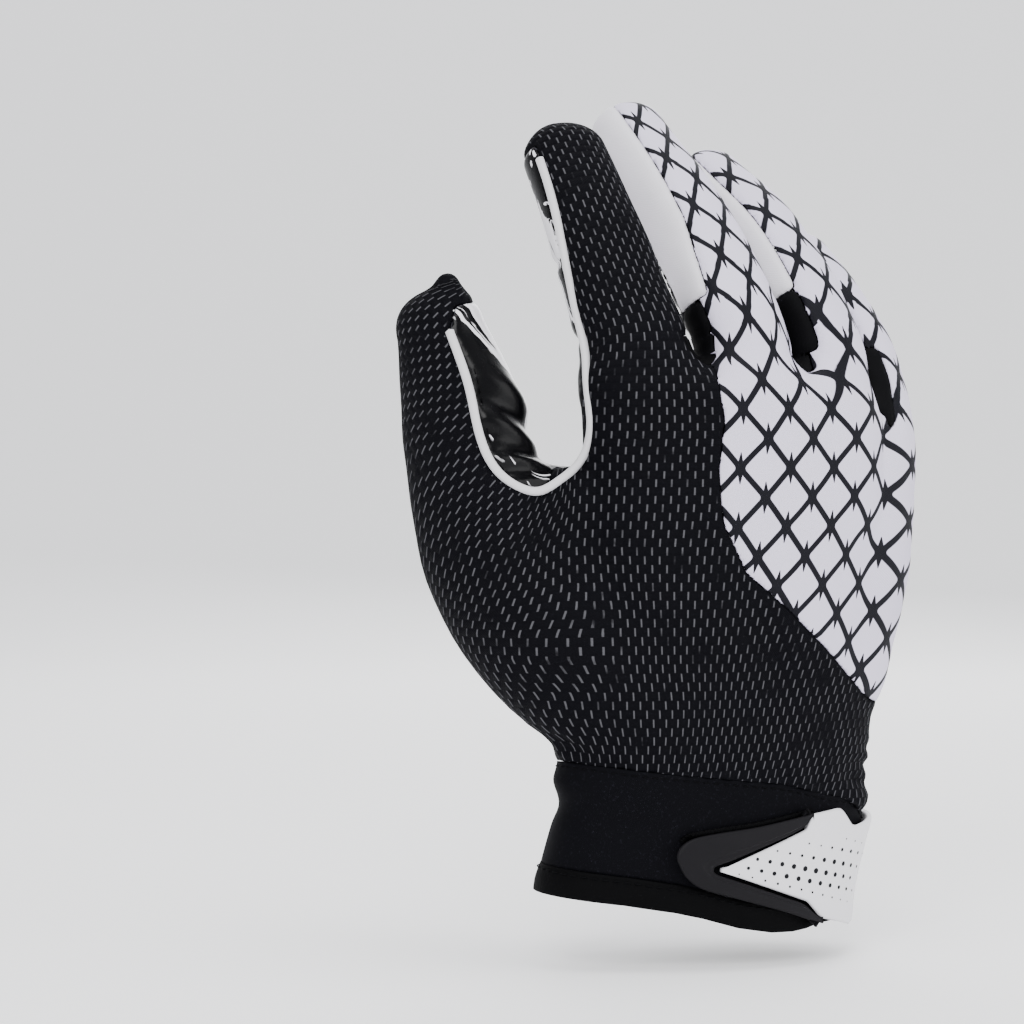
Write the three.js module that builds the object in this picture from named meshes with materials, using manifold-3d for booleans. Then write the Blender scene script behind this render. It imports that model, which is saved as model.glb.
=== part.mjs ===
import * as THREE from 'three';
import Module from 'manifold-3d';

// Football glove for a right hand, worn shape, millimetres, fingers up, back of the hand toward -Y.
const WALL = 1.4;
const CUFF_WALL = 2.0;
const GAP = 0.3;
const CUFF_HEIGHT = 31;
const HEM_HEIGHT = 6.6;
const HEM_SLOPE = -0.12;
const STRAP_INNER = 0.65;
const STRAP_OUTER = 2.5;
const BASE_OUTER = 3.1;
const PIPING_RADIUS = 1.1;
const PALM_POWER = 2.3;
const DIGIT_POWER = 2.2;
const TIP_LENGTH = 0.95;
const CAMERA_TURN = -20;

// Sections of the wrist and palm: height, centre x, centre y, half width, half depth, arch radius, turn in degrees.
const PALM = [
  [-8, -2, 0, 42.2, 18.5, 300, 0],
  [0, -2, 0, 41.6, 18.5, 300, 0],
  [12, -0.5, 0, 40.3, 18.0, 300, 0],
  [26, 2.2, 0, 39.6, 17.5, 250, 0],
  [38, 5, 0, 41.5, 17.5, 180, 0],
  [55, 7, 0, 42.2, 17.5, 130, 2],
  [75, 10.5, 0, 44.5, 18.0, 100, 5],
  [98, 14, 0, 46.0, 17.0, 85, 8],
  [112, 15.5, 0, 45.0, 15.5, 81, 9],
  [120, 16, 0, 44.5, 14.5, 80, 10],
  [136, 15, 0, 45.0, 13.0, 78, 12],
];

// Top edge of the palm between the fingers: height, fall with the square of the distance, where the fall starts, soft edge.
const PALM_TOP = { height: 134, fall: 0.0055, from: -5, rounding: 13, narrowing: 8 };

// Finger sections: centre x, y, z, half width, half depth, turn of the nail side from -Y toward +X in degrees.
const FINGERS = {
  index: [
    [-10, 1, 100, 13.0, 10.0, 8],
    [-14.5, 0, 130, 13.8, 10.5, 8],
    [-19, 6, 150, 13.2, 10.0, 8],
    [-23.5, 15, 171, 12.0, 9.4, 8],
    [-26.5, 25, 187.5, 11.0, 8.6, 8],
  ],
  middle: [
    [13.5, 0, 104, 12.0, 10.5, 14],
    [13.4, 2, 135, 12.2, 10.5, 15],
    [8.4, 9, 156, 12.2, 10.0, 16],
    [2, 22, 177, 11.4, 9.3, 17],
    [-4, 38, 194.5, 10.2, 8.5, 17],
  ],
  ring: [
    [35, 3, 100, 11.5, 10.5, 24],
    [37.5, 6, 132, 10.9, 10.0, 25],
    [34.5, 14, 151, 10.8, 9.5, 26],
    [28.5, 26, 169, 10.4, 9.0, 27],
    [20.5, 41, 183.5, 9.5, 8.2, 27],
  ],
  pinky: [
    [41, 5, 58, 9.0, 10.0, 28],
    [49.5, 8.5, 86, 10.8, 10.5, 34],
    [55, 13.5, 117, 10.2, 9.3, 37],
    [56, 21, 133, 9.5, 8.8, 38],
    [52, 29.5, 149, 9.4, 8.3, 40],
    [47.5, 42, 162.5, 8.6, 7.6, 40],
  ],
  thumb: [
    [-14, 3, 50, 13.0, 12.0, -45],
    [-36, 7, 64, 17.5, 16.0, -55],
    [-50.2, 10, 83, 17.5, 15.0, -60],
    [-55.5, 14, 105, 16.6, 13.5, -60],
    [-57.8, 18, 127, 15.2, 12.3, -60],
    [-60.8, 20, 147, 11.7, 10.2, -60],
  ],
  web: [
    [-24, 4, 56, 15.0, 11.0, -15],
    [-36, 7, 74, 13.0, 11.0, -22],
    [-38, 8, 88, 11.5, 9.5, -22],
    [-34.5, 6.5, 100, 9.5, 8.0, -20],
  ],
};

// Seam angles round each finger from the nail side, in degrees: distance along the finger, radial seam, ulnar seam.
const SEAMS = {
  index: [[0, -90, 120], [50, -89, 120], [60, -79, 120], [74, -68, 120], [84, -63, 118], [110, -62, 115]],
  middle: [[0, -120, 120], [110, -120, 120]],
  ring: [[0, -120, 120], [110, -120, 120]],
  pinky: [[0, -120, 112], [130, -120, 112]],
  thumb: [[0, -118, 130], [58, -118, 125], [66, -118, 104], [69, -118, 80], [72, -118, 63], [76, -118, 54], [82, -118, 49], [86, -118, 47], [112, -118, 48], [130, -118, 50]],
};

// Distance along each finger where its palm side starts.
const PALM_STARTS = { index: 22, middle: 22, ring: 22, pinky: 56, thumb: 24 };

// Blocks of the palm side next to the thumb: low and high corner.
const THUMB_BLOCKS = [[-47, 7, 62, -24, 32, 114], [-46, -2, 104, -27.5, 32, 116]];

// Side strips of the fingers: node, finger, start along the finger, then rows of distance, first and last angle.
const SIDE_STRIPS = [
  ['gusset_index_ulnar', 'index', 48, [[40, 58, 120], [80, 62, 120], [110, 66, 115]]],
  ['gusset_middle_radial', 'middle', 49, [[40, -120, -56], [60, -120, -46], [69, -120, -38], [110, -120, -33]]],
  ['gusset_middle_ulnar', 'middle', 46, [[40, 62, 120], [110, 66, 118]]],
  ['gusset_ring_radial', 'ring', 52, [[40, -120, -52], [110, -120, -52]]],
  ['gusset_ring_ulnar', 'ring', 38, [[30, 64, 120], [110, 66, 118]]],
  ['gusset_pinky_radial', 'pinky', 83, [[60, -120, -50], [96, -120, -55], [130, -120, -60]]],
];

// Black pieces in the clefts: node, for both fingers the name, start, end and angles, and the low and high corner of the cleft.
const CLEFTS = [
  ['web_insert_index_middle', ['index', 32, 48, 58, 122], ['middle', 29, 49, -122, -54], [-6, -7, 126, 6, 9, 138]],
  ['web_insert_middle_ring', ['middle', 30, 46, 60, 122], ['ring', 34, 52, -122, -52], [20, -4, 125, 32, 12, 138]],
  ['web_insert_ring_pinky', ['ring', 20, 38, 62, 122], ['pinky', 61, 83, -122, -48], [43, 2, 115, 54, 20, 130]],
];

// Piping: points on the thumb and the index as distance and angle, and points of the web as x, y, z.
const PIPING_THUMB = [[112, 50], [107, 45], [98, 46], [90, 47], [82, 49], [76, 54], [72, 63], [69, 78]];
const PIPING_WEB = [[-46, -0.5, 102.6], [-41.5, 1.5, 102.6], [-36.5, 1, 104.8], [-32.5, -0.5, 109]];
const PIPING_INDEX = [[20, -88], [30, -87], [40, -90], [50, -89], [60, -79], [74, -68], [84, -63], [92, -64]];

// Outline of the printed back in the picture plane: across, up.
const PRINT_EDGE = [[2.5, 140], [5.5, 121], [4, 109], [5, 96], [11, 84], [22, 74], [32, 64], [43, 51], [66, 38]];

// Strap outlines as distance across and height over the hem line.
const STRAP_FRONT = [[4.5, 11.4], [16, 17.5], [24, 23.5], [27, 27.5], [33, 29.5], [60, 27], [60, 1.5], [34, 2], [27, 3.6]];
const STRAP_PALM = [[-60, 27], [-37, 27.5], [-29, 31], [7, 19.5], [10.5, 16.5], [11, 7], [8.5, 3.6], [-12, 1.4], [-30, 1.2], [-60, 1.4]];
const BASE_FRONT = [[-5.2, 15], [-2, 20.5], [10, 22.5], [24, 28], [30, 31.8], [36, 31.8], [40, 31], [40, -1], [30, 0.6], [17, 5.2], [-2, 8.6], [-4.6, 10.4]];
const TAB_PALM = [[15.5, 30.4], [29.5, 30.4], [25, 6], [12, 6]];
const LOOP_PALM = [[12, 6.6], [25, 6.6], [25.3, -0.6], [12.3, -0.6]];

const wasm = await Module();
wasm.setup();

const radians = (degrees) => (degrees * Math.PI) / 180;

/** Lets a table of rows be read between its rows, by the value in the first column. */
function lookup(rows, at) {
  if (at <= rows[0][0]) return rows[0];
  for (let i = 1; i < rows.length; i++) {
    if (at <= rows[i][0]) {
      const t = (at - rows[i - 1][0]) / (rows[i][0] - rows[i - 1][0]);
      return rows[i].map((value, k) => rows[i - 1][k] + t * (value - rows[i - 1][k]));
    }
  }
  return rows[rows.length - 1];
}

/** Rows of a table with more rows put between them on a smooth curve. */
function smooth(rows, steps) {
  const out = [];
  const row = (i) => {
    if (i < 0) return rows[0].map((v, k) => 2 * v - rows[1][k]);
    if (i >= rows.length) return rows[rows.length - 1].map((v, k) => 2 * v - rows[rows.length - 2][k]);
    return rows[i];
  };
  for (let i = 0; i < rows.length - 1; i++) {
    const [a, b, c, d] = [row(i - 1), row(i), row(i + 1), row(i + 2)];
    for (let s = 0; s < steps; s++) {
      const t = s / steps;
      out.push(b.map((v, k) => 0.5 * (2 * v + (c[k] - a[k]) * t + (2 * a[k] - 5 * v + 4 * c[k] - d[k]) * t * t
        + (3 * v - a[k] - 3 * c[k] + d[k]) * t * t * t)));
    }
  }
  out.push(rows[rows.length - 1]);
  return out;
}

const PALM_ROWS = smooth(PALM, 6);

/** A solid from points and triangles, turned the right way out. */
function solid(points, triangles) {
  const build = (flip) => new wasm.Manifold(new wasm.Mesh({
    numProp: 3,
    vertProperties: new Float32Array(points.flat()),
    triVerts: new Uint32Array(triangles.flatMap(([a, b, c]) => (flip ? [a, c, b] : [a, b, c]))),
  }));
  let volume = 0;
  for (const [a, b, c] of triangles) {
    const [p, q, r] = [points[a], points[b], points[c]];
    volume += p[0] * (q[1] * r[2] - q[2] * r[1]) + p[1] * (q[2] * r[0] - q[0] * r[2]) + p[2] * (q[0] * r[1] - q[1] * r[0]);
  }
  return build(volume < 0);
}

/** A closed skin over rings of equal count. Each end is closed by a fan to a point, a fan from the first corner or strips. */
function loft(rings, startEnd, finishEnd) {
  const n = rings[0].length;
  const points = rings.flat();
  const triangles = [];
  for (let r = 0; r < rings.length - 1; r++) {
    for (let i = 0; i < n; i++) {
      const a = r * n + i;
      const b = r * n + ((i + 1) % n);
      triangles.push([a, b, b + n], [a, b + n, a + n]);
    }
  }
  const close = (base, end, back) => {
    const add = (a, b, c) => triangles.push(back ? [a, c, b] : [a, b, c]);
    if (Array.isArray(end)) {
      const tip = points.push(end) - 1;
      for (let i = 0; i < n; i++) add(base + i, base + ((i + 1) % n), tip);
    } else if (end === 'fan') {
      for (let i = 1; i < n - 1; i++) add(base, base + i, base + i + 1);
    } else {
      for (let i = 0; i < n / 2; i++) {
        const [p, q, s, u] = [i, i + 1, (n - i - 1) % n, (n - i) % n];
        if (q !== s) add(base + p, base + q, base + s);
        if (p !== u) add(base + p, base + s, base + u);
      }
    }
  };
  close(0, startEnd, true);
  close((rings.length - 1) * n, finishEnd, false);
  return solid(points, triangles);
}

/** The place with distance l round the arched palm and h above its middle, at one height. */
function palmPoint(l, h, z) {
  const [, cx, cy, , , radius, turn] = lookup(PALM_ROWS, z);
  const x = (radius + h) * Math.sin(l / radius);
  const y = radius - (radius + h) * Math.cos(l / radius);
  const [c, s] = [Math.cos(radians(turn)), Math.sin(radians(turn))];
  return [cx + x * c - y * s, cy + x * s + y * c, z];
}

/** The wrist and palm as a solid sleeve, smaller by inset, between two slanted heights, with a rounded top if asked. */
function sleeve(inset, low, high, levels, sides = 20, rounding = 0, narrowing = 0) {
  const steps = [];
  for (let i = 0; i <= levels; i++) steps.push([i / levels, 0, 0]);
  if (rounding) {
    for (const turn of [45, 85]) {
      steps.push([1, narrowing * (1 - Math.cos(radians(turn))), rounding * Math.sin(radians(turn))]);
    }
  }
  const rings = steps.map(([t, shrink, rise]) => {
    const ring = [];
    for (let i = 0; i < sides; i++) {
      const turn = (2 * Math.PI * i) / sides;
      const [c, s] = [Math.cos(turn), Math.sin(turn)];
      let z = low(0) + t * (high(0) - rounding - low(0)) + rise;
      let l = 0;
      let h = 0;
      for (let pass = 0; pass < 4; pass++) {
        const row = lookup(PALM_ROWS, z);
        l = Math.sign(c) * (row[3] - inset - shrink) * Math.abs(c) ** (2 / PALM_POWER);
        h = Math.sign(s) * (row[4] - inset - shrink) * Math.abs(s) ** (2 / PALM_POWER);
        z = low(l) + t * (high(l) - rounding - low(l)) + rise;
      }
      ring.push(palmPoint(l, h, z));
    }
    return ring;
  });
  return loft(rings, 'strip', 'strip');
}

/** Stations along a finger: centre, direction, sideways and nail directions, half sizes and distance. */
function stations(rows, steps = 2) {
  const fine = smooth(rows, steps);
  const centres = fine.map((row) => new THREE.Vector3(row[0], row[1], row[2]));
  let distance = 0;
  return fine.map((row, i) => {
    if (i) distance += centres[i].distanceTo(centres[i - 1]);
    const along = centres[Math.min(i + 1, fine.length - 1)].clone().sub(centres[Math.max(i - 1, 0)]).normalize();
    const nail = new THREE.Vector3(Math.sin(radians(row[5])), -Math.cos(radians(row[5])), 0);
    nail.addScaledVector(along, -nail.dot(along)).normalize();
    const side = along.clone().cross(nail);
    return { centre: centres[i], along, nail, side, a: row[3], b: row[4], distance };
  });
}

/** A point round a finger section, at an angle from the nail side, made larger by grow and moved forward. */
function around(station, degrees, grow, scale = 1, forward = 0) {
  const [c, s] = [Math.cos(radians(degrees)), Math.sin(radians(degrees))];
  const reach = scale / (Math.abs(s) ** DIGIT_POWER + Math.abs(c) ** DIGIT_POWER) ** (1 / DIGIT_POWER);
  return station.centre.clone()
    .addScaledVector(station.side, s * reach * (station.a + grow))
    .addScaledVector(station.nail, c * reach * (station.b + grow))
    .addScaledVector(station.along, forward)
    .toArray();
}

/** A station part way along a finger. */
function stationAt(list, distance) {
  let i = 1;
  while (i < list.length - 1 && list[i].distance < distance) i++;
  const [p, q] = [list[i - 1], list[i]];
  const t = (distance - p.distance) / (q.distance - p.distance);
  const mix = (u, v) => u.clone().lerp(v, t);
  return {
    centre: mix(p.centre, q.centre), along: mix(p.along, q.along).normalize(), nail: mix(p.nail, q.nail).normalize(),
    side: mix(p.side, q.side).normalize(), a: p.a + t * (q.a - p.a), b: p.b + t * (q.b - p.b), distance,
  };
}

/** A finger as a solid, smaller by inset. */
function finger(rows, inset, sides) {
  const list = stations(rows);
  const rings = list.map((station) => {
    const ring = [];
    for (let i = 0; i < sides; i++) ring.push(around(station, (360 * i) / sides, -inset));
    return ring;
  });
  const last = list[list.length - 1];
  const length = (TIP_LENGTH * (last.a + last.b)) / 2 - inset;
  for (const turn of [34, 66]) {
    const ring = [];
    for (let i = 0; i < sides; i++) {
      ring.push(around(last, (360 * i) / sides, -inset, Math.cos(radians(turn)), length * Math.sin(radians(turn))));
    }
    rings.push(ring);
  }
  const tip = last.centre.clone().addScaledVector(last.along, length).toArray();
  return loft(rings, list[0].centre.toArray(), tip);
}

/** A wedge of a finger between two angles and two distances, used to cut the skin. No end distance: past the tip. */
function wedge(name, start, end, angles, grow, margin) {
  const list = stations(FINGERS[name]);
  const last = list[list.length - 1];
  const picked = [stationAt(list, start), ...list.filter((s) => s.distance > start + 1 && s.distance < (end ?? 1e9) - 1)];
  if (end !== null) picked.push(stationAt(list, end));
  const ringAt = (station, forward) => {
    const [, from, to] = lookup(angles, station.distance + forward);
    const extra = (margin / station.a) * (180 / Math.PI);
    const [a, b] = [from - extra, to + extra];
    const count = Math.ceil((to - from) / 20);
    return { station, forward, a, b, count };
  };
  const plan = picked.map((station) => ringAt(station, 0));
  if (end === null) plan.push(ringAt(last, 6), ringAt(last, 14));
  const count = Math.max(...plan.map((p) => p.count));
  const rings = plan.map(({ station, forward, a, b }) => {
    const ring = [station.centre.clone().addScaledVector(station.along, forward).toArray()];
    for (let i = 0; i <= count; i++) ring.push(around(station, a + ((b - a) * i) / count, grow, 1, forward));
    return ring;
  });
  return loft(rings, 'fan', 'fan');
}

/** The whole of a finger from one distance on, used to cut the skin. */
function wholeFinger(name, start, grow) {
  const rows = stations(FINGERS[name]);
  const last = rows[rows.length - 1];
  const picked = [stationAt(rows, start), ...rows.filter((s) => s.distance > start + 1)];
  const rings = picked.map((station) => Array.from({ length: 14 }, (_, i) => around(station, (360 * i) / 14, grow)));
  rings.push(Array.from({ length: 14 }, (_, i) => around(last, (360 * i) / 14, grow, 1, 14)));
  return loft(rings, picked[0].centre.toArray(), last.centre.clone().addScaledVector(last.along, 14).toArray());
}

/** The palm side of the hand as a block that follows the arch, with room added on all sides. */
function palmSide(room) {
  const edge = [[20, 9, 10], [60, 5, 10], [80, -6, 9], [95, -6, 7], [110, -6, 0], [140, -6, -2]];
  const rings = [];
  for (let z = 20; z <= 140; z += 12) {
    const row = lookup(PALM_ROWS, z);
    const first = -row[3] + lookup(edge, z)[1] - room;
    const last = row[3] - lookup(edge, z)[2] + room;
    const ring = [];
    for (let i = 0; i <= 6; i++) ring.push(palmPoint(first + ((last - first) * i) / 6, room, z));
    for (let i = 6; i >= 0; i--) ring.push(palmPoint(first + ((last - first) * i) / 6, -row[4] - 4, z));
    rings.push(ring);
  }
  const n = rings[0].length;
  const points = rings.flat();
  const triangles = [];
  for (let r = 0; r < rings.length - 1; r++) {
    for (let i = 0; i < n; i++) {
      const a = r * n + i;
      const b = r * n + ((i + 1) % n);
      triangles.push([a, b, b + n], [a, b + n, a + n]);
    }
  }
  for (const [base, back] of [[0, true], [(rings.length - 1) * n, false]]) {
    for (let i = 0; i < n / 2 - 1; i++) {
      const [p, q, s, u] = [base + i, base + i + 1, base + n - 2 - i, base + n - 1 - i];
      for (const [a, b, c] of [[p, q, s], [p, s, u]]) triangles.push(back ? [a, c, b] : [a, b, c]);
    }
  }
  return solid(points, triangles);
}

/** A flat outline pushed through the object along one level direction, between two depths. */
function prism(outline, degrees, near, far) {
  const right = [Math.cos(radians(degrees)), Math.sin(radians(degrees))];
  const away = [-right[1], right[0]];
  const contour = outline.map(([x, y]) => new THREE.Vector2(x, y));
  const faces = THREE.ShapeUtils.triangulateShape(contour, []);
  const place = ([x, z], depth) => [x * right[0] + depth * away[0], x * right[1] + depth * away[1], z];
  const n = outline.length;
  const points = [...outline.map((p) => place(p, near)), ...outline.map((p) => place(p, far))];
  const triangles = [];
  for (let i = 0; i < n; i++) {
    const j = (i + 1) % n;
    triangles.push([i, j, j + n], [i, j + n, i + n]);
  }
  for (const [a, b, c] of faces) triangles.push([a, c, b], [a + n, b + n, c + n]);
  let area = 0;
  for (let i = 0; i < n; i++) area += outline[i][0] * outline[(i + 1) % n][1] - outline[(i + 1) % n][0] * outline[i][1];
  if (area < 0) for (const t of triangles.slice(2 * n)) t.reverse();
  return solid(points, triangles);
}

/** A plain box between two corners. */
function box([x1, y1, z1, x2, y2, z2]) {
  return prism([[x1, z1], [x2, z1], [x2, z2], [x1, z2]], 0, y1, y2);
}

/** Heights over the hem line turned into heights over the floor. */
const overHem = (outline, across = 1) => outline.map(([x, v]) => [x, v + HEM_SLOPE * x * across]);

/** A flat outline with every side moved outward. */
function grown(outline, by) {
  const n = outline.length;
  let area = 0;
  for (let i = 0; i < n; i++) area += outline[i][0] * outline[(i + 1) % n][1] - outline[(i + 1) % n][0] * outline[i][1];
  const turn = Math.sign(area);
  return outline.map((point, i) => {
    const before = outline[(i + n - 1) % n];
    const after = outline[(i + 1) % n];
    const out = (p, q) => new THREE.Vector2((q[1] - p[1]) * turn, (p[0] - q[0]) * turn).normalize();
    const [u, v] = [out(before, point), out(point, after)];
    const reach = by / (1 + u.dot(v));
    return [point[0] + (u.x + v.x) * reach, point[1] + (u.y + v.y) * reach];
  });
}

/** A round cord along a smooth curve through points. */
function cord(points, radius, sides = 6) {
  const curve = new THREE.CatmullRomCurve3(points.map((p) => new THREE.Vector3(...p)), false, 'centripetal');
  const steps = Math.round(points.length * 1.3);
  const frames = curve.computeFrenetFrames(steps, false);
  const rings = [];
  for (let i = 0; i <= steps; i++) {
    const centre = curve.getPointAt(i / steps);
    rings.push(Array.from({ length: sides }, (_, k) => {
      const turn = (2 * Math.PI * k) / sides;
      return centre.clone()
        .addScaledVector(frames.normals[i], radius * Math.cos(turn))
        .addScaledVector(frames.binormals[i], radius * Math.sin(turn))
        .toArray();
    }));
  }
  return loft(rings, curve.getPointAt(0).toArray(), curve.getPointAt(1).toArray());
}

/** The parts of a solid that are larger than a crumb. */
function withoutCrumbs(body, smallest = 12) {
  const kept = body.decompose().filter((piece) => piece.volume() > smallest);
  return kept.reduce((all, one) => all.add(one));
}

const hem = (l) => HEM_SLOPE * l;
const cuffTop = (l) => CUFF_HEIGHT + HEM_SLOPE * l;
const palmTop = (inset) => (l) => PALM_TOP.height - PALM_TOP.fall * Math.max(l - PALM_TOP.from, 0) ** 2 - inset;

/** The hand without the cuff, smaller by inset. */
function hand(inset, drop, palmSides, fingerSides) {
  let body = sleeve(inset, (l) => cuffTop(l) + GAP / 2 - drop, palmTop(inset), 5, palmSides, PALM_TOP.rounding, PALM_TOP.narrowing);
  for (const rows of Object.values(FINGERS)) body = body.add(finger(rows, inset, fingerSides));
  return body;
}

const pieces = {};
let skin = hand(0, 0, 20, 9).subtract(hand(WALL, 8, 14, 6));

// Piping in its groove along the thumb, the web and the index.
const pointsOn = (name, list, grow) => {
  const line = stations(FINGERS[name]);
  return list.map(([distance, angle]) => around(stationAt(line, distance), angle, grow));
};
const pipingPath = [...pointsOn('thumb', PIPING_THUMB, 0), ...PIPING_WEB, ...pointsOn('index', PIPING_INDEX, 0)];
pieces.piping = cord(pipingPath, PIPING_RADIUS);
skin = skin.subtract(cord(pipingPath, PIPING_RADIUS + GAP));

// Side strips of the fingers.
for (const [node, name, start, angles] of SIDE_STRIPS) {
  pieces[node] = withoutCrumbs(skin.intersect(wedge(name, start + GAP / 2, null, angles, 0.9, -GAP / 2)));
  skin = skin.subtract(wedge(name, start - GAP / 2, null, angles, 1.4, GAP / 2));
}

// Black pieces in the clefts between the fingers.
for (const [node, first, second, corners] of CLEFTS) {
  const cutter = (room) => [first, second]
    .map(([name, start, end, a, b]) => wedge(name, start - room, end + room, [[0, a, b], [200, a, b]], 2.2 + 2 * room, room))
    .reduce((all, one) => all.add(one), box(corners.map((v, i) => v + (i < 3 ? -room : room))));
  pieces[node] = withoutCrumbs(skin.intersect(cutter(-GAP / 2)));
  skin = skin.subtract(cutter(GAP / 2));
}

// Palm side, printed back and mesh back.
const palmCutter = (room) => {
  let cutter = palmSide(room);
  for (const corners of THUMB_BLOCKS) cutter = cutter.add(box(corners.map((v, i) => v + (i < 3 ? -room : room))));
  for (const [name, rows] of Object.entries(SEAMS)) {
    const angles = rows.map(([distance, radial, ulnar]) => [distance, ulnar, 360 + radial]);
    cutter = cutter.add(wedge(name, PALM_STARTS[name] - room, null, angles, 1.2 + 2 * room, room));
  }
  return cutter;
};
pieces.palm_panel = withoutCrumbs(skin.intersect(palmCutter(-GAP / 2)));
skin = skin.subtract(palmCutter(GAP / 2));

const printCutter = (room) => {
  const edge = PRINT_EDGE.map(([x, z]) => [x - room, z - room]);
  let cutter = prism([...edge, [66, 140 + room]], CAMERA_TURN, -60, 90);
  for (const [name, start] of [['middle', 34], ['ring', 30], ['pinky', 60]]) {
    cutter = cutter.add(wholeFinger(name, start - room, 1 + 2 * room));
  }
  return cutter;
};
pieces.back_print = withoutCrumbs(skin.intersect(printCutter(-GAP / 2)));
pieces.back_mesh = withoutCrumbs(skin.subtract(printCutter(GAP / 2)));

// Cuff and its hem.
const raised = (f, by) => (l) => f(l) + by;
pieces.cuff = sleeve(0, raised(hem, HEM_HEIGHT + GAP), raised(cuffTop, -GAP / 2), 2)
  .subtract(sleeve(CUFF_WALL, raised(hem, -6), raised(cuffTop, 6), 3));
pieces.cuff_hem = sleeve(-0.3, hem, raised(hem, HEM_HEIGHT), 1)
  .subtract(sleeve(CUFF_WALL + 0.2, raised(hem, -6), raised(hem, HEM_HEIGHT + 6), 2));

// Strap round the little finger side, its raised base on the back and the pull tab on the palm side.
const band = (inner, outer) => sleeve(-outer, raised(hem, -3), raised(hem, 33), 3)
  .subtract(sleeve(-inner, raised(hem, -8), raised(hem, 38), 3));
const strapFront = prism(overHem(STRAP_FRONT), CAMERA_TURN, -60, 17);
const strapPalm = prism(overHem(STRAP_PALM, -1), 180, -60, -1);
pieces.strap = withoutCrumbs(band(STRAP_INNER, STRAP_OUTER).intersect(strapFront.add(strapPalm)));
pieces.strap_base = withoutCrumbs(band(STRAP_INNER, BASE_OUTER)
  .intersect(prism(overHem(BASE_FRONT), CAMERA_TURN, -60, -2))
  .subtract(prism(overHem(grown(STRAP_FRONT, 0.4)), CAMERA_TURN, -70, 8)));
pieces.pull_tab = withoutCrumbs(band(0.65, 1.9).intersect(prism(overHem(TAB_PALM, -1), 180, -60, -2))
  .add(band(0.65, 3.9).intersect(prism(overHem(LOOP_PALM, -1), 180, -60, -2))));

const COLOURS = {
  back_mesh: [0x17171c, 0.85], back_print: [0xd9d6e2, 0.6], palm_panel: [0x2b2b2e, 0.3], piping: [0xd4d3d8, 0.6],
  cuff: [0x0d0d11, 0.8], cuff_hem: [0x0a0a0d, 0.85], strap: [0xe2e1e6, 0.5], strap_base: [0x202126, 0.55],
  pull_tab: [0x8f8d90, 0.8],
};

const group = new THREE.Group();
for (const [name, body] of Object.entries(pieces)) {
  const mesh = body.getMesh();
  const geometry = new THREE.BufferGeometry();
  geometry.setAttribute('position', new THREE.BufferAttribute(new Float32Array(mesh.vertProperties), 3));
  geometry.setIndex(new THREE.BufferAttribute(new Uint32Array(mesh.triVerts), 1));
  geometry.computeVertexNormals();
  const fallback = name.startsWith('gusset') ? [0xdcd9e0, 0.55] : [0x101014, 0.85];
  const [color, roughness] = COLOURS[name] ?? fallback;
  const node = new THREE.Mesh(geometry, new THREE.MeshStandardMaterial({ color, roughness, metalness: 0 }));
  node.name = name;
  group.add(node);
}

export default group;
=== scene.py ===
"""Football glove for a right hand: the looks of its cloth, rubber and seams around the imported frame.

The hand is one smooth surface in millimetres, from tables of sections close to those of the solids. The
thumb's tip, the inserts between the fingers, the strap and some seams follow the photograph more closely.
It is cut into panels along the seams, and each panel gets its wall, its flat pattern and its finish.
"""

import bpy
import numpy as np
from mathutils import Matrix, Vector


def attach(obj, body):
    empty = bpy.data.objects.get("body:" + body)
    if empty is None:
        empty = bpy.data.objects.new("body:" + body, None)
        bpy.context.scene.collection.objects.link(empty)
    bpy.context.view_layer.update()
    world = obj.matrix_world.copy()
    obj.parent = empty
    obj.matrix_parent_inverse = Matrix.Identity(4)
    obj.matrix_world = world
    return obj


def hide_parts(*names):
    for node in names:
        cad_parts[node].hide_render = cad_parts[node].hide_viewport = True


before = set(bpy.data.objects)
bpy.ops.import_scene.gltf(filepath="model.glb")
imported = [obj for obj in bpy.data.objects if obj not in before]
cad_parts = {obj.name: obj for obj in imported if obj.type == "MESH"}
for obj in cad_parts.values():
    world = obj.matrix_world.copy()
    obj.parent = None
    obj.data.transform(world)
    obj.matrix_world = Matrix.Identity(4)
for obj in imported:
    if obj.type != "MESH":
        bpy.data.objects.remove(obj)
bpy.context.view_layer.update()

MM = 0.001
CELL = 0.95
COARSE = 4
WALL = 1.4
CUFF_WALL = 2.0
GAP = 0.3
CUFF_HEIGHT = 31.0
HEM_HEIGHT = 6.6
HEM_SLOPE = -0.12
PIPING_RADIUS = 1.1
PALM_POWER = 2.3
DIGIT_POWER = 2.2
TIP_LENGTH = 0.95
CAMERA_TURN = -20.0
CAMERA_LIFT = 2.0
LENS = 120.0
SENSOR = 36.0
STRAP_GROW = 2.5
TAB_TOP = 30.6

# The share of its rectangle that an insert between the fingers is taken to fill. It isn't measured.
INSERT_FILL = 0.8

# The photograph: its size in pixels, millimetres in a pixel, the pixel at the wrist opening's middle.
PICTURE_PIXELS = 1024
PIXEL = 0.25
WRIST_PIXEL = (700, 905)
CAMERA_DISTANCE = PICTURE_PIXELS * PIXEL * LENS / SENSOR
PICTURE_MIDDLE = (
    (PICTURE_PIXELS / 2 - WRIST_PIXEL[0]) * PIXEL,
    (WRIST_PIXEL[1] - PICTURE_PIXELS / 2) * PIXEL,
)

# The camera's directions to the right of the picture and back from it.
camera_turn, camera_lift = np.radians(CAMERA_TURN), np.radians(CAMERA_LIFT)
CAMERA_RIGHT = np.array([np.cos(camera_turn), np.sin(camera_turn), 0])
CAMERA_BACK = np.array([
    np.sin(camera_turn) * np.cos(camera_lift),
    -np.cos(camera_turn) * np.cos(camera_lift),
    np.sin(camera_lift),
])

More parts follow.
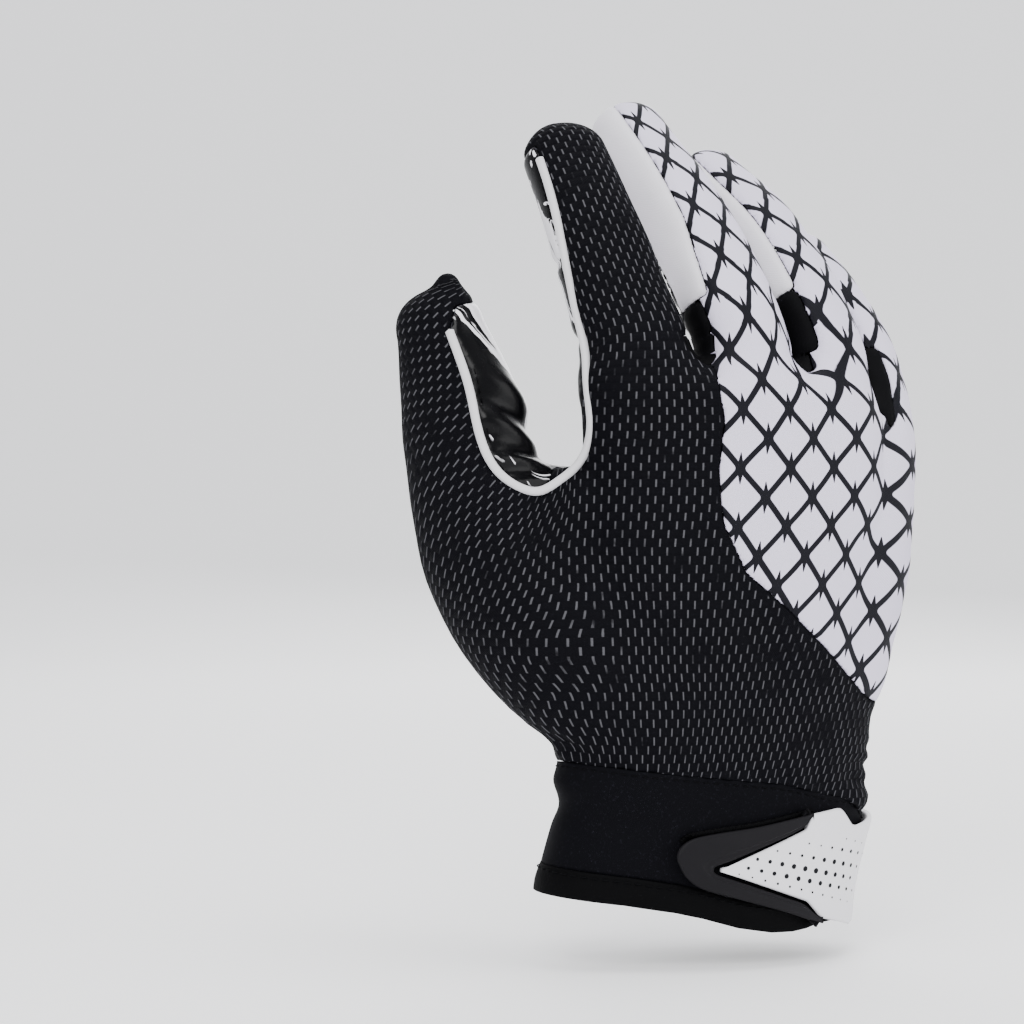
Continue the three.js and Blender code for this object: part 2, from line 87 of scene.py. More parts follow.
# Sections of the wrist and palm: height, centre x, centre y, half width, half depth, arch radius, turn in
# degrees.
PALM = [
    (-8, -2, 0, 42.2, 18.5, 300, 0),
    (0, -2, 0, 41.6, 18.5, 300, 0),
    (12, -0.5, 0, 40.3, 18.0, 300, 0),
    (26, 2.2, 0, 39.6, 17.5, 250, 0),
    (38, 5, 0, 41.5, 17.5, 180, 0),
    (55, 7, 0, 42.2, 17.5, 130, 2),
    (75, 10.5, 0, 44.5, 18.0, 100, 5),
    (98, 14, 0, 46.0, 17.0, 85, 8),
    (112, 15.5, 0, 45.0, 15.5, 81, 9),
    (120, 16, 0, 44.5, 14.5, 80, 10),
    (136, 15, 0, 45.0, 13.0, 78, 12),
]

# Top edge of the palm between the fingers: height, fall with the square of the distance, where the fall
# starts.
PALM_TOP = {"height": 134.0, "fall": 0.0055, "from": -5.0, "softness": 9.0}

# Finger sections: centre x, y, z, half width, half depth, turn of the nail side from -Y toward +X in degrees.
FINGERS = {
    "index": [
        (-10, 1, 100, 13.0, 10.0, 8),
        (-14.5, 0, 130, 13.8, 10.5, 8),
        (-19, 6, 150, 13.2, 10.0, 8),
        (-23.5, 15, 171, 12.0, 9.4, 8),
        (-26.5, 25, 187.5, 11.0, 8.6, 8),
    ],
    "middle": [
        (13.5, 0, 104, 12.0, 10.5, 14),
        (13.4, 2, 135, 12.2, 10.5, 15),
        (8.4, 9, 156, 12.2, 10.0, 16),
        (2, 22, 177, 11.4, 9.3, 17),
        (-4, 38, 194.5, 10.2, 8.5, 17),
    ],
    "ring": [
        (35, 3, 100, 11.5, 10.5, 24),
        (37.5, 6, 132, 10.9, 10.0, 25),
        (34.5, 14, 151, 10.8, 9.5, 26),
        (28.5, 26, 169, 10.4, 9.0, 27),
        (20.5, 41, 183.5, 9.5, 8.2, 27),
    ],
    "pinky": [
        (41, 5, 58, 9.0, 10.0, 28),
        (49.5, 8.5, 86, 10.8, 10.5, 34),
        (55, 13.5, 117, 10.2, 9.3, 37),
        (56, 21, 133, 9.5, 8.8, 38),
        (52, 29.5, 149, 9.4, 8.3, 40),
        (47.5, 42, 162.5, 8.6, 7.6, 40),
    ],
    "thumb": [
        (-14, 3, 50, 13.0, 12.0, -45),
        (-36, 7, 64, 17.5, 16.0, -55),
        (-50.2, 10, 83, 17.5, 15.0, -60),
        (-55.5, 14, 105, 16.6, 13.5, -60),
        (-57.8, 18, 127, 15.2, 12.3, -60),
        (-62.0, 20, 144, 11.0, 10.2, -60),
    ],
    "web": [
        (-24, 4, 56, 15.0, 11.0, -15),
        (-36, 7, 74, 13.0, 11.0, -22),
        (-38, 8, 88, 11.5, 9.5, -22),
        (-34.5, 6.5, 100, 9.5, 8.0, -20),
    ],
}

# How softly each finger runs into the palm, in millimetres.
BLENDS = {"index": 7.0, "middle": 7.0, "ring": 7.0, "pinky": 7.0, "thumb": 9.0, "web": 6.0}

# The sewn point of the thumb: two ends with their radius, and how softly it joins.
THUMB_POINT = {"ends": [(-60.5, 15.5, 146), (-61.6, 14.5, 155.2)], "radii": (3.6, 2.3), "blend": 6.0}

# Seam angles round each finger from the nail side in degrees: distance along it, radial seam, ulnar seam.
SEAMS = {
    "index": [(0, -90, 120), (50, -89, 120), (60, -79, 120), (74, -68, 120), (84, -63, 118), (110, -62, 115)],
    "middle": [(0, -120, 120), (110, -120, 120)],
    "ring": [(0, -120, 120), (110, -120, 120)],
    "pinky": [(0, -120, 112), (130, -120, 112)],
    "thumb": [
        (0, -118, 130), (58, -118, 125), (66, -118, 104), (69, -118, 80), (72, -118, 63), (76, -118, 54),
        (82, -118, 49), (86, -118, 47), (112, -118, 48), (116, -118, 62), (124, -118, 66), (135, -118, 66),
    ],
}

# Side strips of the fingers: finger, start along it, then rows of distance, first and last angle.
SIDE_STRIPS = {
    "gusset_index_ulnar": ("index", 48, [(40, 74, 120), (56, 62, 120), (80, 62, 120), (110, 66, 115)]),
    "gusset_middle_radial": (
        "middle", 49, [(40, -120, -56), (60, -120, -46), (69, -120, -38), (110, -120, -33)],
    ),
    "gusset_middle_ulnar": ("middle", 46, [(40, 62, 120), (110, 66, 118)]),
    "gusset_ring_radial": ("ring", 54, [(40, -120, -52), (110, -120, -52)]),
    "gusset_ring_ulnar": ("ring", 38, [(30, 64, 120), (110, 66, 118)]),
    "gusset_pinky_radial": ("pinky", 83, [(60, -120, -50), (96, -120, -55), (130, -120, -60)]),
}

# Black pieces in the clefts: for both fingers the name, start, end and angles, then the cleft's low and
# high corner.
CLEFTS = {
    "web_insert_index_middle": (
        ("index", 40, 48, 78, 122), ("middle", 40, 49, -122, -66), (-8, -5, 134, 2.5, 9, 143),
    ),
    "web_insert_middle_ring": (
        ("middle", 34, 46, 66, 122), ("ring", 37, 54, -122, -52), (20, -4, 129, 30, 12, 138),
    ),
    "web_insert_ring_pinky": (
        ("ring", 20, 38, 48, 122), ("pinky", 61, 83, -122, -32), (43, 2, 115, 54, 20, 130),
    ),
}

# Where the palm side starts at the two edges of the palm: height, inset on the thumb side, inset on the
# other side.
PALM_EDGES = [(20, 9, 10), (60, 5, 10), (80, -6, 9), (95, -6, 7), (110, -6, 0), (140, -6, -2)]

# Outline of the printed back in the picture plane: across, up.
PRINT_EDGE = [(66, 38), (43, 51), (32, 64), (22, 74), (11, 84), (5, 96), (4, 109), (5.5, 121), (2.5, 140)]

# Creases across the palm side of the fingers: distances along each.
JOINT_CREASES = {"index": (46, 66), "middle": (50, 72), "ring": (48, 68), "pinky": (70, 92), "thumb": (78,)}

# Piping: points on the thumb and the index as distance and angle, and points of the web as x, y, z.
PIPING_THUMB = [(112, 48), (107, 45), (98, 46), (90, 47), (82, 49), (76, 54), (72, 63), (69, 78)]
PIPING_WEB = [(-46, -0.5, 102.6), (-41.5, 1.5, 102.6), (-36.5, 1, 104.8), (-32.5, -0.5, 109)]
PIPING_INDEX = [(20, -88), (30, -87), (40, -90), (50, -89), (60, -79), (74, -68), (84, -63), (92, -64)]

# Edges of the strap on the back in the picture plane: across, up.
STRAP_TOP = [
    (5.5, 8.95), (26.6, 18.7), (27.2, 19.3), (28.3, 22.7), (34.6, 24.2), (35.6, 24.1), (36.6, 23.2),
    (38.4, 20.2), (39.2, 19.9), (43.8, 22.4),
]
STRAP_LOW = [(5.5, 8.25), (26.9, 0.9), (27.5, 0.4), (30.3, -3.0), (31.0, -3.4), (37.6, -4.8)]

# Heights over the hem of the strap on the palm side: minus x, lower edge, upper edge.
STRAP_PALM = [
    (-40, 1.5, 27.2), (-37, 1.4, 27.5), (-29, 1.2, 31), (-20, 1.25, 28.2), (-12, 1.4, 25.6), (0, 2.6, 21.7),
    (7, 3.4, 19.5), (9.2, 4.0, 18.4), (10.5, 5.2, 16.7), (11, 7.6, 14.6),
]

# Outlines of the V-shaped base in the picture plane, outer and inner, each from the upper arm round to
# the lower.
BASE_OUTER = [
    (28.6, 22.9), (24, 21.6), (14.4, 19.4), (5, 17.9), (-1.5, 16.6), (-4.6, 14.6), (-5.8, 12.2), (-5.2, 9.6),
    (-3, 6.3), (0.5, 3.9), (6, 2.3), (14.4, 0.1), (22, -2), (27.6, -3.8), (31, -4.6),
]
BASE_INNER = [
    (28.1, 22.4), (26.2, 19.0), (14.4, 13.5), (8.5, 11.0), (5.4, 9.9), (4.2, 9.3), (3.7, 8.6), (4, 7.9),
    (5.2, 7.2), (7.5, 6.5), (10, 5.7), (15.5, 3.9), (22, 1.7), (26.6, 0.1), (30, -3.2),
]

# How far the wrist band leans out on the little finger's side: height over the hem, millimetres.
LEAN = [(-8, -2.2), (0, -1.3), (8, 0), (16, 2.0), (24, 3.7), (27, 3.9), (29.5, 2.4), (31.5, 0.9), (40, 0)]

# How far the hem hangs lower under the strap's base: across the picture, millimetres.
HEM_DROP = [
    (-17, 0), (-5, 0.6), (1.7, 1.5), (10, 3.2), (18, 3.8), (23.5, 3.3), (27, 2.4), (30.5, 0.9), (35, 0),
]


def smooth_rows(rows, steps):
    """Rows of a table with more rows put between them on a Catmull-Rom curve."""
    rows = np.asarray(rows, float)
    padded = np.vstack([2 * rows[0] - rows[1], rows, 2 * rows[-1] - rows[-2]])
    t = (np.arange(steps) / steps)[None, :, None]
    a, b, c, d = (padded[i : len(rows) - 1 + i][:, None, :] for i in range(4))
    fine = 0.5 * (2 * b + (c - a) * t + (2 * a - 5 * b + 4 * c - d) * t**2 + (3 * b - a - 3 * c + d) * t**3)
    return np.vstack([fine.reshape(-1, rows.shape[1]), rows[-1:]])


def unit(vectors):
    """Vectors made one long."""
    return vectors / np.linalg.norm(vectors, axis=-1, keepdims=True)


def lengths_along(path):
    """The distance along a path at each of its points."""
    return np.concatenate([[0], np.cumsum(np.linalg.norm(np.diff(path, axis=0), axis=1))])


def rim(x, y, power):
    """The radius of a superellipse of half sizes one through each place."""
    return (np.abs(x) ** power + np.abs(y) ** power) ** (1 / power)


def table_value(rows, column, at):
    """A column of a table read between its rows by the first column."""
    rows = np.asarray(rows, float)
    return np.interp(at, rows[:, 0], rows[:, column])


def finger_line(rows, steps=6):
    """Centres, directions and half sizes along a finger. The side direction is along times nail."""
    fine = smooth_rows(rows, steps)
    centre = fine[:, :3]
    along = unit(np.gradient(centre, axis=0))
    turn = np.radians(fine[:, 5])
    nail = np.stack([np.sin(turn), -np.cos(turn), 0 * turn], 1)
    nail = unit(nail - (nail * along).sum(1, keepdims=True) * along)
    distance = lengths_along(centre)
    side = np.cross(along, nail)
    line = {"centre": centre, "nail": nail, "side": side, "distance": distance}
    return {**line, "a": fine[:, 3], "b": fine[:, 4]}


LINES = {name: finger_line(rows) for name, rows in FINGERS.items()}
PALM_ROWS = smooth_rows(PALM, 8)


def place_on_finger(points, line):
    """The nearest place on a finger: distance along, sideways, toward the nail, past the end, half sizes."""
    nearest = np.full(len(points), 1e18)
    place = np.zeros((len(points), 6))
    centre = line["centre"]
    for j in range(len(centre) - 1):
        step = centre[j + 1] - centre[j]
        t = np.clip(((points - centre[j]) @ step) / (step @ step), 0, 1)
        away = points - (centre[j] + t[:, None] * step)
        apart = (away * away).sum(1)
        closer = apart < nearest
        if not closer.any():
            continue
        part = t[closer][:, None]
        gone = away[closer]
        side = line["side"][j] * (1 - part) + line["side"][j + 1] * part
        nail = line["nail"][j] * (1 - part) + line["nail"][j + 1] * part
        along = step / np.linalg.norm(step)
        part = part[:, 0]
        mixed = [line[key][j] * (1 - part) + line[key][j + 1] * part for key in ("distance", "a", "b")]
        columns = [mixed[0], (gone * side).sum(1), (gone * nail).sum(1), gone @ along, mixed[1], mixed[2]]
        place[closer] = np.stack(columns, 1)
        nearest[closer] = apart[closer]
    return place


def finger_value(place):
    """Below zero inside a finger: the superellipse radius of its section, rounded past its ends, less one."""
    a, b = place[:, 4], place[:, 5]
    section = rim(place[:, 1] / a, place[:, 2] / b, DIGIT_POWER)
    past = place[:, 3] / (TIP_LENGTH * 0.5 * (a + b))
    return (np.hypot(section, past) - 1) * np.sqrt(a * b)


def place_on_palm(points):
    """The place on the arched palm: distance round the arch, height over its middle, half width and depth."""
    height = np.clip(points[:, 2], PALM_ROWS[0, 0], PALM_ROWS[-1, 0])
    cx, cy, wide, deep, radius, turn = (table_value(PALM_ROWS, i, height) for i in range(1, 7))
    cosine, sine = np.cos(np.radians(turn)), np.sin(np.radians(turn))
    dx, dy = points[:, 0] - cx, points[:, 1] - cy
    across = dx * cosine + dy * sine
    back = radius - (dy * cosine - dx * sine)
    return radius * np.arctan2(across, back), np.hypot(across, back) - radius, wide, deep


def soft_least(a, b, width):
    """The lesser of two values with a rounded corner."""
    mix = np.clip(width - np.abs(a - b), 0, None) / width
    return np.minimum(a, b) - mix * mix * width / 4


def soft_most(a, b, width):
    """The greater of two values with a rounded corner."""
    return -soft_least(-a, -b, width)


def palm_value(points):
    """Below zero inside the wrist and palm, whose rounded top edge falls toward the little finger."""
    across, over, wide, deep = place_on_palm(points)
    section = rim(across / wide, over / deep, PALM_POWER)
    fall = PALM_TOP["fall"] * np.clip(across - PALM_TOP["from"], 0, None) ** 2
    top = points[:, 2] - (PALM_TOP["height"] - fall)
    return soft_most((section - 1) * deep * 0.9, top, PALM_TOP["softness"])


def point_value(points):
    """Below zero inside the tapered rod that makes the sewn point of the thumb."""
    start, end = (np.array(p, float) for p in THUMB_POINT["ends"])
    step = end - start
    t = np.clip(((points - start) @ step) / (step @ step), 0, 1)
    radius = THUMB_POINT["radii"][0] * (1 - t) + THUMB_POINT["radii"][1] * t
    return np.linalg.norm(points - start - t[:, None] * step, axis=1) - radius


def near_finger(points, name):
    """Which points lie near enough to a finger to matter."""
    centre = LINES[name]["centre"]
    room = 34
    return ((points > centre.min(0) - room) & (points < centre.max(0) + room)).all(1)


def hand_value(points):
    """Below zero inside the hand: the palm and the fingers joined with rounded corners."""
    values = {}
    for name, line in LINES.items():
        values[name] = np.full(len(points), 40.0)
        near = near_finger(points, name)
        values[name][near] = finger_value(place_on_finger(points[near], line))
    fingers = values["index"]
    for name in ("middle", "ring", "pinky"):
        fingers = soft_least(fingers, values[name], 1.0)
    hand = soft_least(palm_value(points), fingers, BLENDS["index"])
    hand = soft_least(hand, values["web"], BLENDS["web"])
    thumb = soft_least(values["thumb"], point_value(points), THUMB_POINT["blend"])
    return soft_least(hand, thumb, BLENDS["thumb"])


def slope(function, points, step=0.25):
    """Value and gradient of a function from four points of a small tetrahedron."""
    corners = np.array([(1, -1, -1), (-1, -1, 1), (-1, 1, -1), (1, 1, 1)], float)
    values = [function(points + corner * step) for corner in corners]
    gradient = sum(v[:, None] * corner for v, corner in zip(values, corners)) / (4 * step)
    return sum(values) / 4, gradient


def onto_surface(points, function=hand_value, rounds=2, most=1.5):
    """Points moved along the gradient until the function is zero there."""
    for _ in range(rounds):
        value, gradient = slope(function, points)
        steep = (gradient * gradient).sum(1) + 1e-9
        move = np.clip(value / np.sqrt(steep), -most, most) / np.sqrt(steep)
        points = points - move[:, None] * gradient
    return points


def grid_values(low, high):
    """Values of the hand on a fine grid, worked out only near its surface, found on a coarse grid."""
    low = np.array(low, float)
    count = np.ceil((np.array(high) - low) / (CELL * COARSE)).astype(int)
    axes = [low[i] + CELL * COARSE * np.arange(count[i] + 1) for i in range(3)]
    corners = np.stack(np.meshgrid(*axes, indexing="ij"), -1).reshape(-1, 3)
    coarse = hand_value(corners).reshape(count + 1)
    middle = np.mean([coarse[i : count[0] + i, j : count[1] + j, k : count[2] + k]
                      for i in (0, 1) for j in (0, 1) for k in (0, 1)], axis=0)
    blocks = middle
    for axis in range(3):
        blocks = np.repeat(blocks, COARSE, axis)
    near = np.argwhere(np.abs(blocks) < CELL * COARSE * 1.6)
    values = np.where(blocks < 0, -9.0, 9.0)
    values[tuple(near.T)] = hand_value(low + CELL * near)
    return values


def surface_from_grid(values, low):
    """Surface nets: one point in each cell that the surface crosses, one square for each crossed edge."""
    size = np.array(values.shape)
    cells = tuple(size - 1)
    total, count = np.zeros(cells + (3,)), np.zeros(cells)
    squares = []
    for axis in range(3):
        first = [slice(None)] * 3
        second = [slice(None)] * 3
        first[axis] = slice(0, -1)
        second[axis] = slice(1, None)
        a, b = values[tuple(first)], values[tuple(second)]
        crossed = (a < 0) != (b < 0)
        index = np.argwhere(crossed)
        place = index.astype(float)
        place[:, axis] += a[crossed] / (a[crossed] - b[crossed])
        others = [k for k in range(3) if k != axis]
        around = []
        for i, j in ((-1, -1), (0, -1), (0, 0), (-1, 0)):
            cell = index.copy()
            cell[:, others[0]] += i
            cell[:, others[1]] += j
            around.append(cell)
            inside = ((cell >= 0) & (cell < size - 1)).all(1)
            np.add.at(count, tuple(cell[inside].T), 1)
            np.add.at(total, tuple(cell[inside].T), place[inside])
        whole = np.all([((c >= 0) & (c < size - 1)).all(1) for c in around], axis=0)
        square = np.stack([np.ravel_multi_index(tuple(c[whole].T), cells) for c in around], 1)
        flip = (a[crossed][whole] < 0) != (axis == 1)
        squares.append(np.where(flip[:, None], square, square[:, ::-1]))
    squares = np.vstack(squares)
    used = np.unique(squares)
    points = np.array(low) + CELL * total.reshape(-1, 3)[used] / count.reshape(-1)[used][:, None]
    numbers = np.full(count.size, -1)
    numbers[used] = np.arange(len(used))
    return points, numbers[squares]


def outward(points, faces):
    """Triangles turned so that the volume they enclose is above zero."""
    a, b, c = (points[faces[:, i]] for i in range(3))
    inside_out = np.einsum("ij,ij->i", a, np.cross(b, c)).sum() < 0
    return faces[:, ::-1] if inside_out else faces


def arc_length(angle, a, b, power):
    """Signed distance round a section from angle zero: sums of chords at fixed angles, scaled to size."""
    turn = np.radians(np.linspace(0, 180, 91))
    reach = 1 / rim(np.sin(turn), np.cos(turn), power)
    wide = np.diff(np.sin(turn) * reach)
    deep = np.diff(np.cos(turn) * reach)
    ratios = np.linspace(0.2, 1.2, 11)
    sums = np.array([np.concatenate([[0], np.cumsum(np.hypot(wide, deep * r))]) for r in ratios])
    place = np.clip((b / a - ratios[0]) / 0.1, 0, len(ratios) - 1.001)
    row = place.astype(int)
    part = place - row
    column = np.clip(np.abs(angle) / 2, 0, 89.999)
    left = column.astype(int)
    share = column - left
    low = sums[row, left] * (1 - share) + sums[row, left + 1] * share
    high = sums[row + 1, left] * (1 - share) + sums[row + 1, left + 1] * share
    return np.sign(angle) * a * (low * (1 - part) + high * part)


def wrapped(angle):
    """Degrees brought between -180 and 180."""
    return (angle + 180) % 360 - 180


def ramp(low, high, at):
    """Smooth step from 0 at low to 1 at high."""
    t = np.clip((at - low) / (high - low), 0, 1)
    return t * t * (3 - 2 * t)


# Distance across the flat cloth from the palm's middle to the thumb's nail side: height, distance.
THUMB_SHIFT = [
    (39, -33), (45, -35.4), (51, -38.5), (57, -42), (63, -46.5), (69, -53), (75, -61), (81, -68), (87, -73.2),
    (93, -77), (99, -79.6), (105, -81.6), (111, -83.6), (160, -88),
]

# How far past the end of a finger's middle line the palm cloth reaches before the back cloth wraps over
# the tip.
TIP_WRAP = {"index": 2.5, "middle": 5.0, "ring": 5.0, "pinky": 4.5, "thumb": 4.0}

# Place where each finger's cloth stops following the palm's grain, as distance along the finger.
KNUCKLES = {"index": 36, "middle": 34, "ring": 34, "pinky": 62}


def band_edge(across, over):
    """How far the wrist band's top edge lies above its slanted line: more on the back, less at the strap."""
    on_back = ramp(-14, 14, over)
    return on_back * (1.5 - 2.6 * ramp(8, 32, across) - 5.6 * ramp(30, 40, across))


def places(points):
    """All that seams and patterns need at each point: shares, seam distances, flat places."""
    across, over, wide, deep = place_on_palm(points)
    values = {"palm": palm_value(points)}
    finger_places = {}
    for name, line in LINES.items():
        finger_places[name] = place_on_finger(points, line)
        values[name] = np.clip(finger_value(finger_places[name]), -3, 40)
    values["thumb"] = soft_least(values["thumb"], point_value(points), THUMB_POINT["blend"])
    values["web"] = values["web"] + 0.5

    def shares(width):
        heavy = {k: np.exp(-np.clip(v, -3, 40) / width) for k, v in values.items()}
        total = sum(heavy.values())
        return {k: v / total for k, v in heavy.items()}

    share = shares(0.9)
    wide_share = shares(4.0)
    picture = points[:, 0] * CAMERA_RIGHT[0] + points[:, 1] * CAMERA_RIGHT[1]

    first = -wide + table_value(PALM_EDGES, 1, points[:, 2])
    last = wide - table_value(PALM_EDGES, 2, points[:, 2])
    palm_side = soft_least(np.minimum(across - first, last - across), -over, 2.0)
    seam = {"palm": palm_side, "web": points[:, 1] - 1.0}
    beside_thumb = ramp(42, 56, points[:, 2]) * (across < 0)
    round_edge = arc_length(np.degrees(np.arctan2(across / wide, over / deep)), wide, deep, PALM_POWER)
    on_back = round_edge * (1 - beside_thumb) + across * beside_thumb
    flat_back = {"palm": np.stack([on_back, points[:, 2]], 1)}
    flat_palm = {"palm": np.stack([across, points[:, 2]], 1)}
    flat_back["web"], flat_palm["web"] = flat_back["palm"], flat_palm["palm"]
    angles, distances, radii = {}, {}, {}
    for name, line in LINES.items():
        if name == "web":
            continue
        place = finger_places[name]
        a, b = place[:, 4], place[:, 5]
        angle = np.degrees(np.arctan2(place[:, 1] / a, place[:, 2] / b))
        radius = np.radians(np.sqrt(a * b))
        distance = place[:, 0] + place[:, 3]
        angles[name], distances[name], radii[name] = angle, distance, radius
        radial = table_value(SEAMS[name], 1, distance)
        ulnar = table_value(SEAMS[name], 2, distance)
        seam[name] = np.maximum(angle - ulnar, radial - angle) * radius
        seam[name] = soft_least(seam[name], line["distance"][-1] + TIP_WRAP[name] - distance, 2.0)
        centre_across, _, _, _ = place_on_palm(line["centre"])
        centre_picture = np.interp(place[:, 0], line["distance"], centre_across)
        stop = KNUCKLES.get(name, 1e3)
        held = np.interp(stop, line["distance"], centre_across)
        held_z = np.interp(stop, line["distance"], line["centre"][:, 2])
        follow = ramp(stop - 14, stop + 16, distance)
        u = centre_picture * (1 - follow) + held * follow
        u_back = table_value(THUMB_SHIFT, 1, points[:, 2]) if name == "thumb" else u
        v = points[:, 2] * (1 - follow) + (held_z + distance - stop) * follow
        cap = TIP_LENGTH * 0.5 * (a + b)
        past = np.clip(place[:, 3] / cap, 0, 1)
        v = v + (np.arcsin(past) - past) * cap
        narrow = np.sqrt(1 - 0.98 * past * past)
        on_finger = np.stack([u_back + arc_length(angle, a, b, DIGIT_POWER) * narrow, v], 1)
        under_finger = np.stack([u - arc_length(wrapped(angle - 180), a, b, DIGIT_POWER) * narrow, v], 1)
        if name == "thumb":
            follow = np.ones(len(points))
        follow = follow[:, None]
        flat_back[name] = flat_back["palm"] * (1 - follow) + on_finger * follow
        flat_palm[name] = flat_palm["palm"] * (1 - follow) + under_finger * follow

    palm_seam = sum(share[k] * seam[k] for k in share)
    edge = picture - np.interp(points[:, 2], [z for _, z in PRINT_EDGE], [x for x, _ in PRINT_EDGE])
    printed = {"palm": edge, "web": edge, "thumb": -8, "index": -8, "middle": 8, "ring": 8, "pinky": 8}
    knuckle = ramp(116, 134, points[:, 2])
    print_seam = edge * 0.9 * (1 - knuckle) + knuckle * sum(share[k] * printed[k] for k in share)

    def between(name, low, high):
        return np.minimum((angles[name] - low) * radii[name], (high - angles[name]) * radii[name])

    strips = {}
    for node, (name, start, rows) in SIDE_STRIPS.items():
        low, high = table_value(rows, 1, distances[name]), table_value(rows, 2, distances[name])
        inside = soft_least(between(name, low, high), distances[name] - start, 1.5)
        strips[node] = np.minimum(inside, (share[name] - 0.5) * 8)
    inserts = {}
    for node, (one, two, corners) in CLEFTS.items():
        parts = []
        for name, start, end, low, high in (one, two):
            ends = np.minimum(distances[name] - start, end - distances[name])
            part = soft_least(between(name, low, high), ends, 2.5)
            parts.append(np.minimum(part, (share[name] - 0.25) * 10))
        over_low = [points[:, i] - corners[i] for i in range(3)]
        under_high = [corners[i + 3] - points[:, i] for i in range(3)]
        parts.append(np.min(over_low + under_high, axis=0) - 0.5)
        inserts[node] = np.max(parts, axis=0)

    def spread(flat):
        return sum(wide_share[k][:, None] * flat[k] for k in wide_share)

    return {
        "palm": palm_seam, "print": print_seam, "strips": strips, "inserts": inserts,
        "flat_back": spread(flat_back), "flat_palm": spread(flat_palm),
        "bottom": points[:, 2] - (CUFF_HEIGHT + HEM_SLOPE * across + band_edge(across, over)) - 0.05,
        "share": wide_share, "across": across, "over": over,
        "angles": angles, "distances": distances,
    }


def panel_values(info):
    """For each panel, how far inside its seams each point lies."""
    strip = np.max(list(info["strips"].values()), axis=0)
    insert = np.minimum(np.max(list(info["inserts"].values()), axis=0), -strip)
    panels = {}
    for node, value in info["strips"].items():
        panels[node] = value
    for node, value in info["inserts"].items():
        panels[node] = np.minimum(value, -strip)
    rest = np.minimum(-strip, -insert)
    panels["palm_panel"] = np.minimum(rest, info["palm"])
    panels["back_print"] = np.minimum(np.minimum(rest, -info["palm"]), info["print"])
    panels["back_mesh"] = np.minimum(np.minimum(rest, -info["palm"]), -info["print"])
    return panels


def cloth_relief(points, info, seam_distance):
    """How far the cloth stands out.

    There is a valley at each seam, creases at the joints, the thumb's web, the heel and the wrist, slight
    waves, the roll over the strap's end, two dents on the back and one beside the thumb.
    """
    x, y, z = points.T
    relief = -0.55 * np.exp(-((seam_distance / 0.9) ** 2))
    relief += 0.12 * np.sin(x * 0.21 + 1.3) * np.sin(z * 0.17 + y * 0.13) + 0.08 * np.sin(z * 0.41 + x * 0.3)
    palm_side = ramp(-1, 3, info["palm"])
    fan = np.arctan2(x + 33, 108 - z)
    far = np.hypot(x + 33, z - 108)
    creases = np.sin(fan * 17 + np.sin(far * 0.12) * 1.5) * np.exp(-(((far - 24) / 15) ** 2))
    relief += 0.75 * palm_side * creases * (far > 6)
    for name, places_along in JOINT_CREASES.items():
        own = ramp(0.35, 0.7, info["share"][name])
        for place in places_along:
            bent = info["distances"][name] - place - 1.2 * np.sin(info["angles"][name] / 34)
            relief -= 0.55 * own * palm_side * np.exp(-((bent / 0.9) ** 2))
            relief += 0.35 * own * palm_side * np.exp(-(((np.abs(bent) - 3.2) / 2.2) ** 2))
    heel = np.sin(0.52 * x + 0.40 * z + 1.4 * np.sin(0.11 * z)) * np.exp(-(((z - 52) / 20) ** 2))
    relief += 0.22 * palm_side * heel
    wrist = np.exp(-(((z - 35 + 0.12 * x) / 4.0) ** 2))
    relief += 0.35 * wrist * np.sin(np.arctan2(y, x + 2) * 23 + z * 0.3)
    over_strap = ramp(26, 38, info["across"]) * ramp(-14, -2, info["over"])
    relief += 4.0 * over_strap * np.exp(-(((z - 25.5) / 4.6) ** 2))
    relief += 0.5 * over_strap * np.sin(z * 1.3 + x * 0.4) * np.exp(-(((z - 34) / 6) ** 2))
    relief -= 0.9 * np.exp(-((np.hypot((x - 6) / 4, (z - 79) / 9)) ** 2)) * (y < 0)
    relief -= 0.9 * np.exp(-((np.hypot((x - 13 + 0.3 * (z - 63)) / 4, (z - 63) / 10)) ** 2)) * (y < 0)
    thumb_side = np.exp(-(((x + 34) / 9) ** 2)) * np.exp(-(((z - 39) / 7) ** 2))
    relief -= 1.1 * thumb_side * (0.6 + 0.4 * np.sin(z * 1.1 + x * 0.5))
    return relief


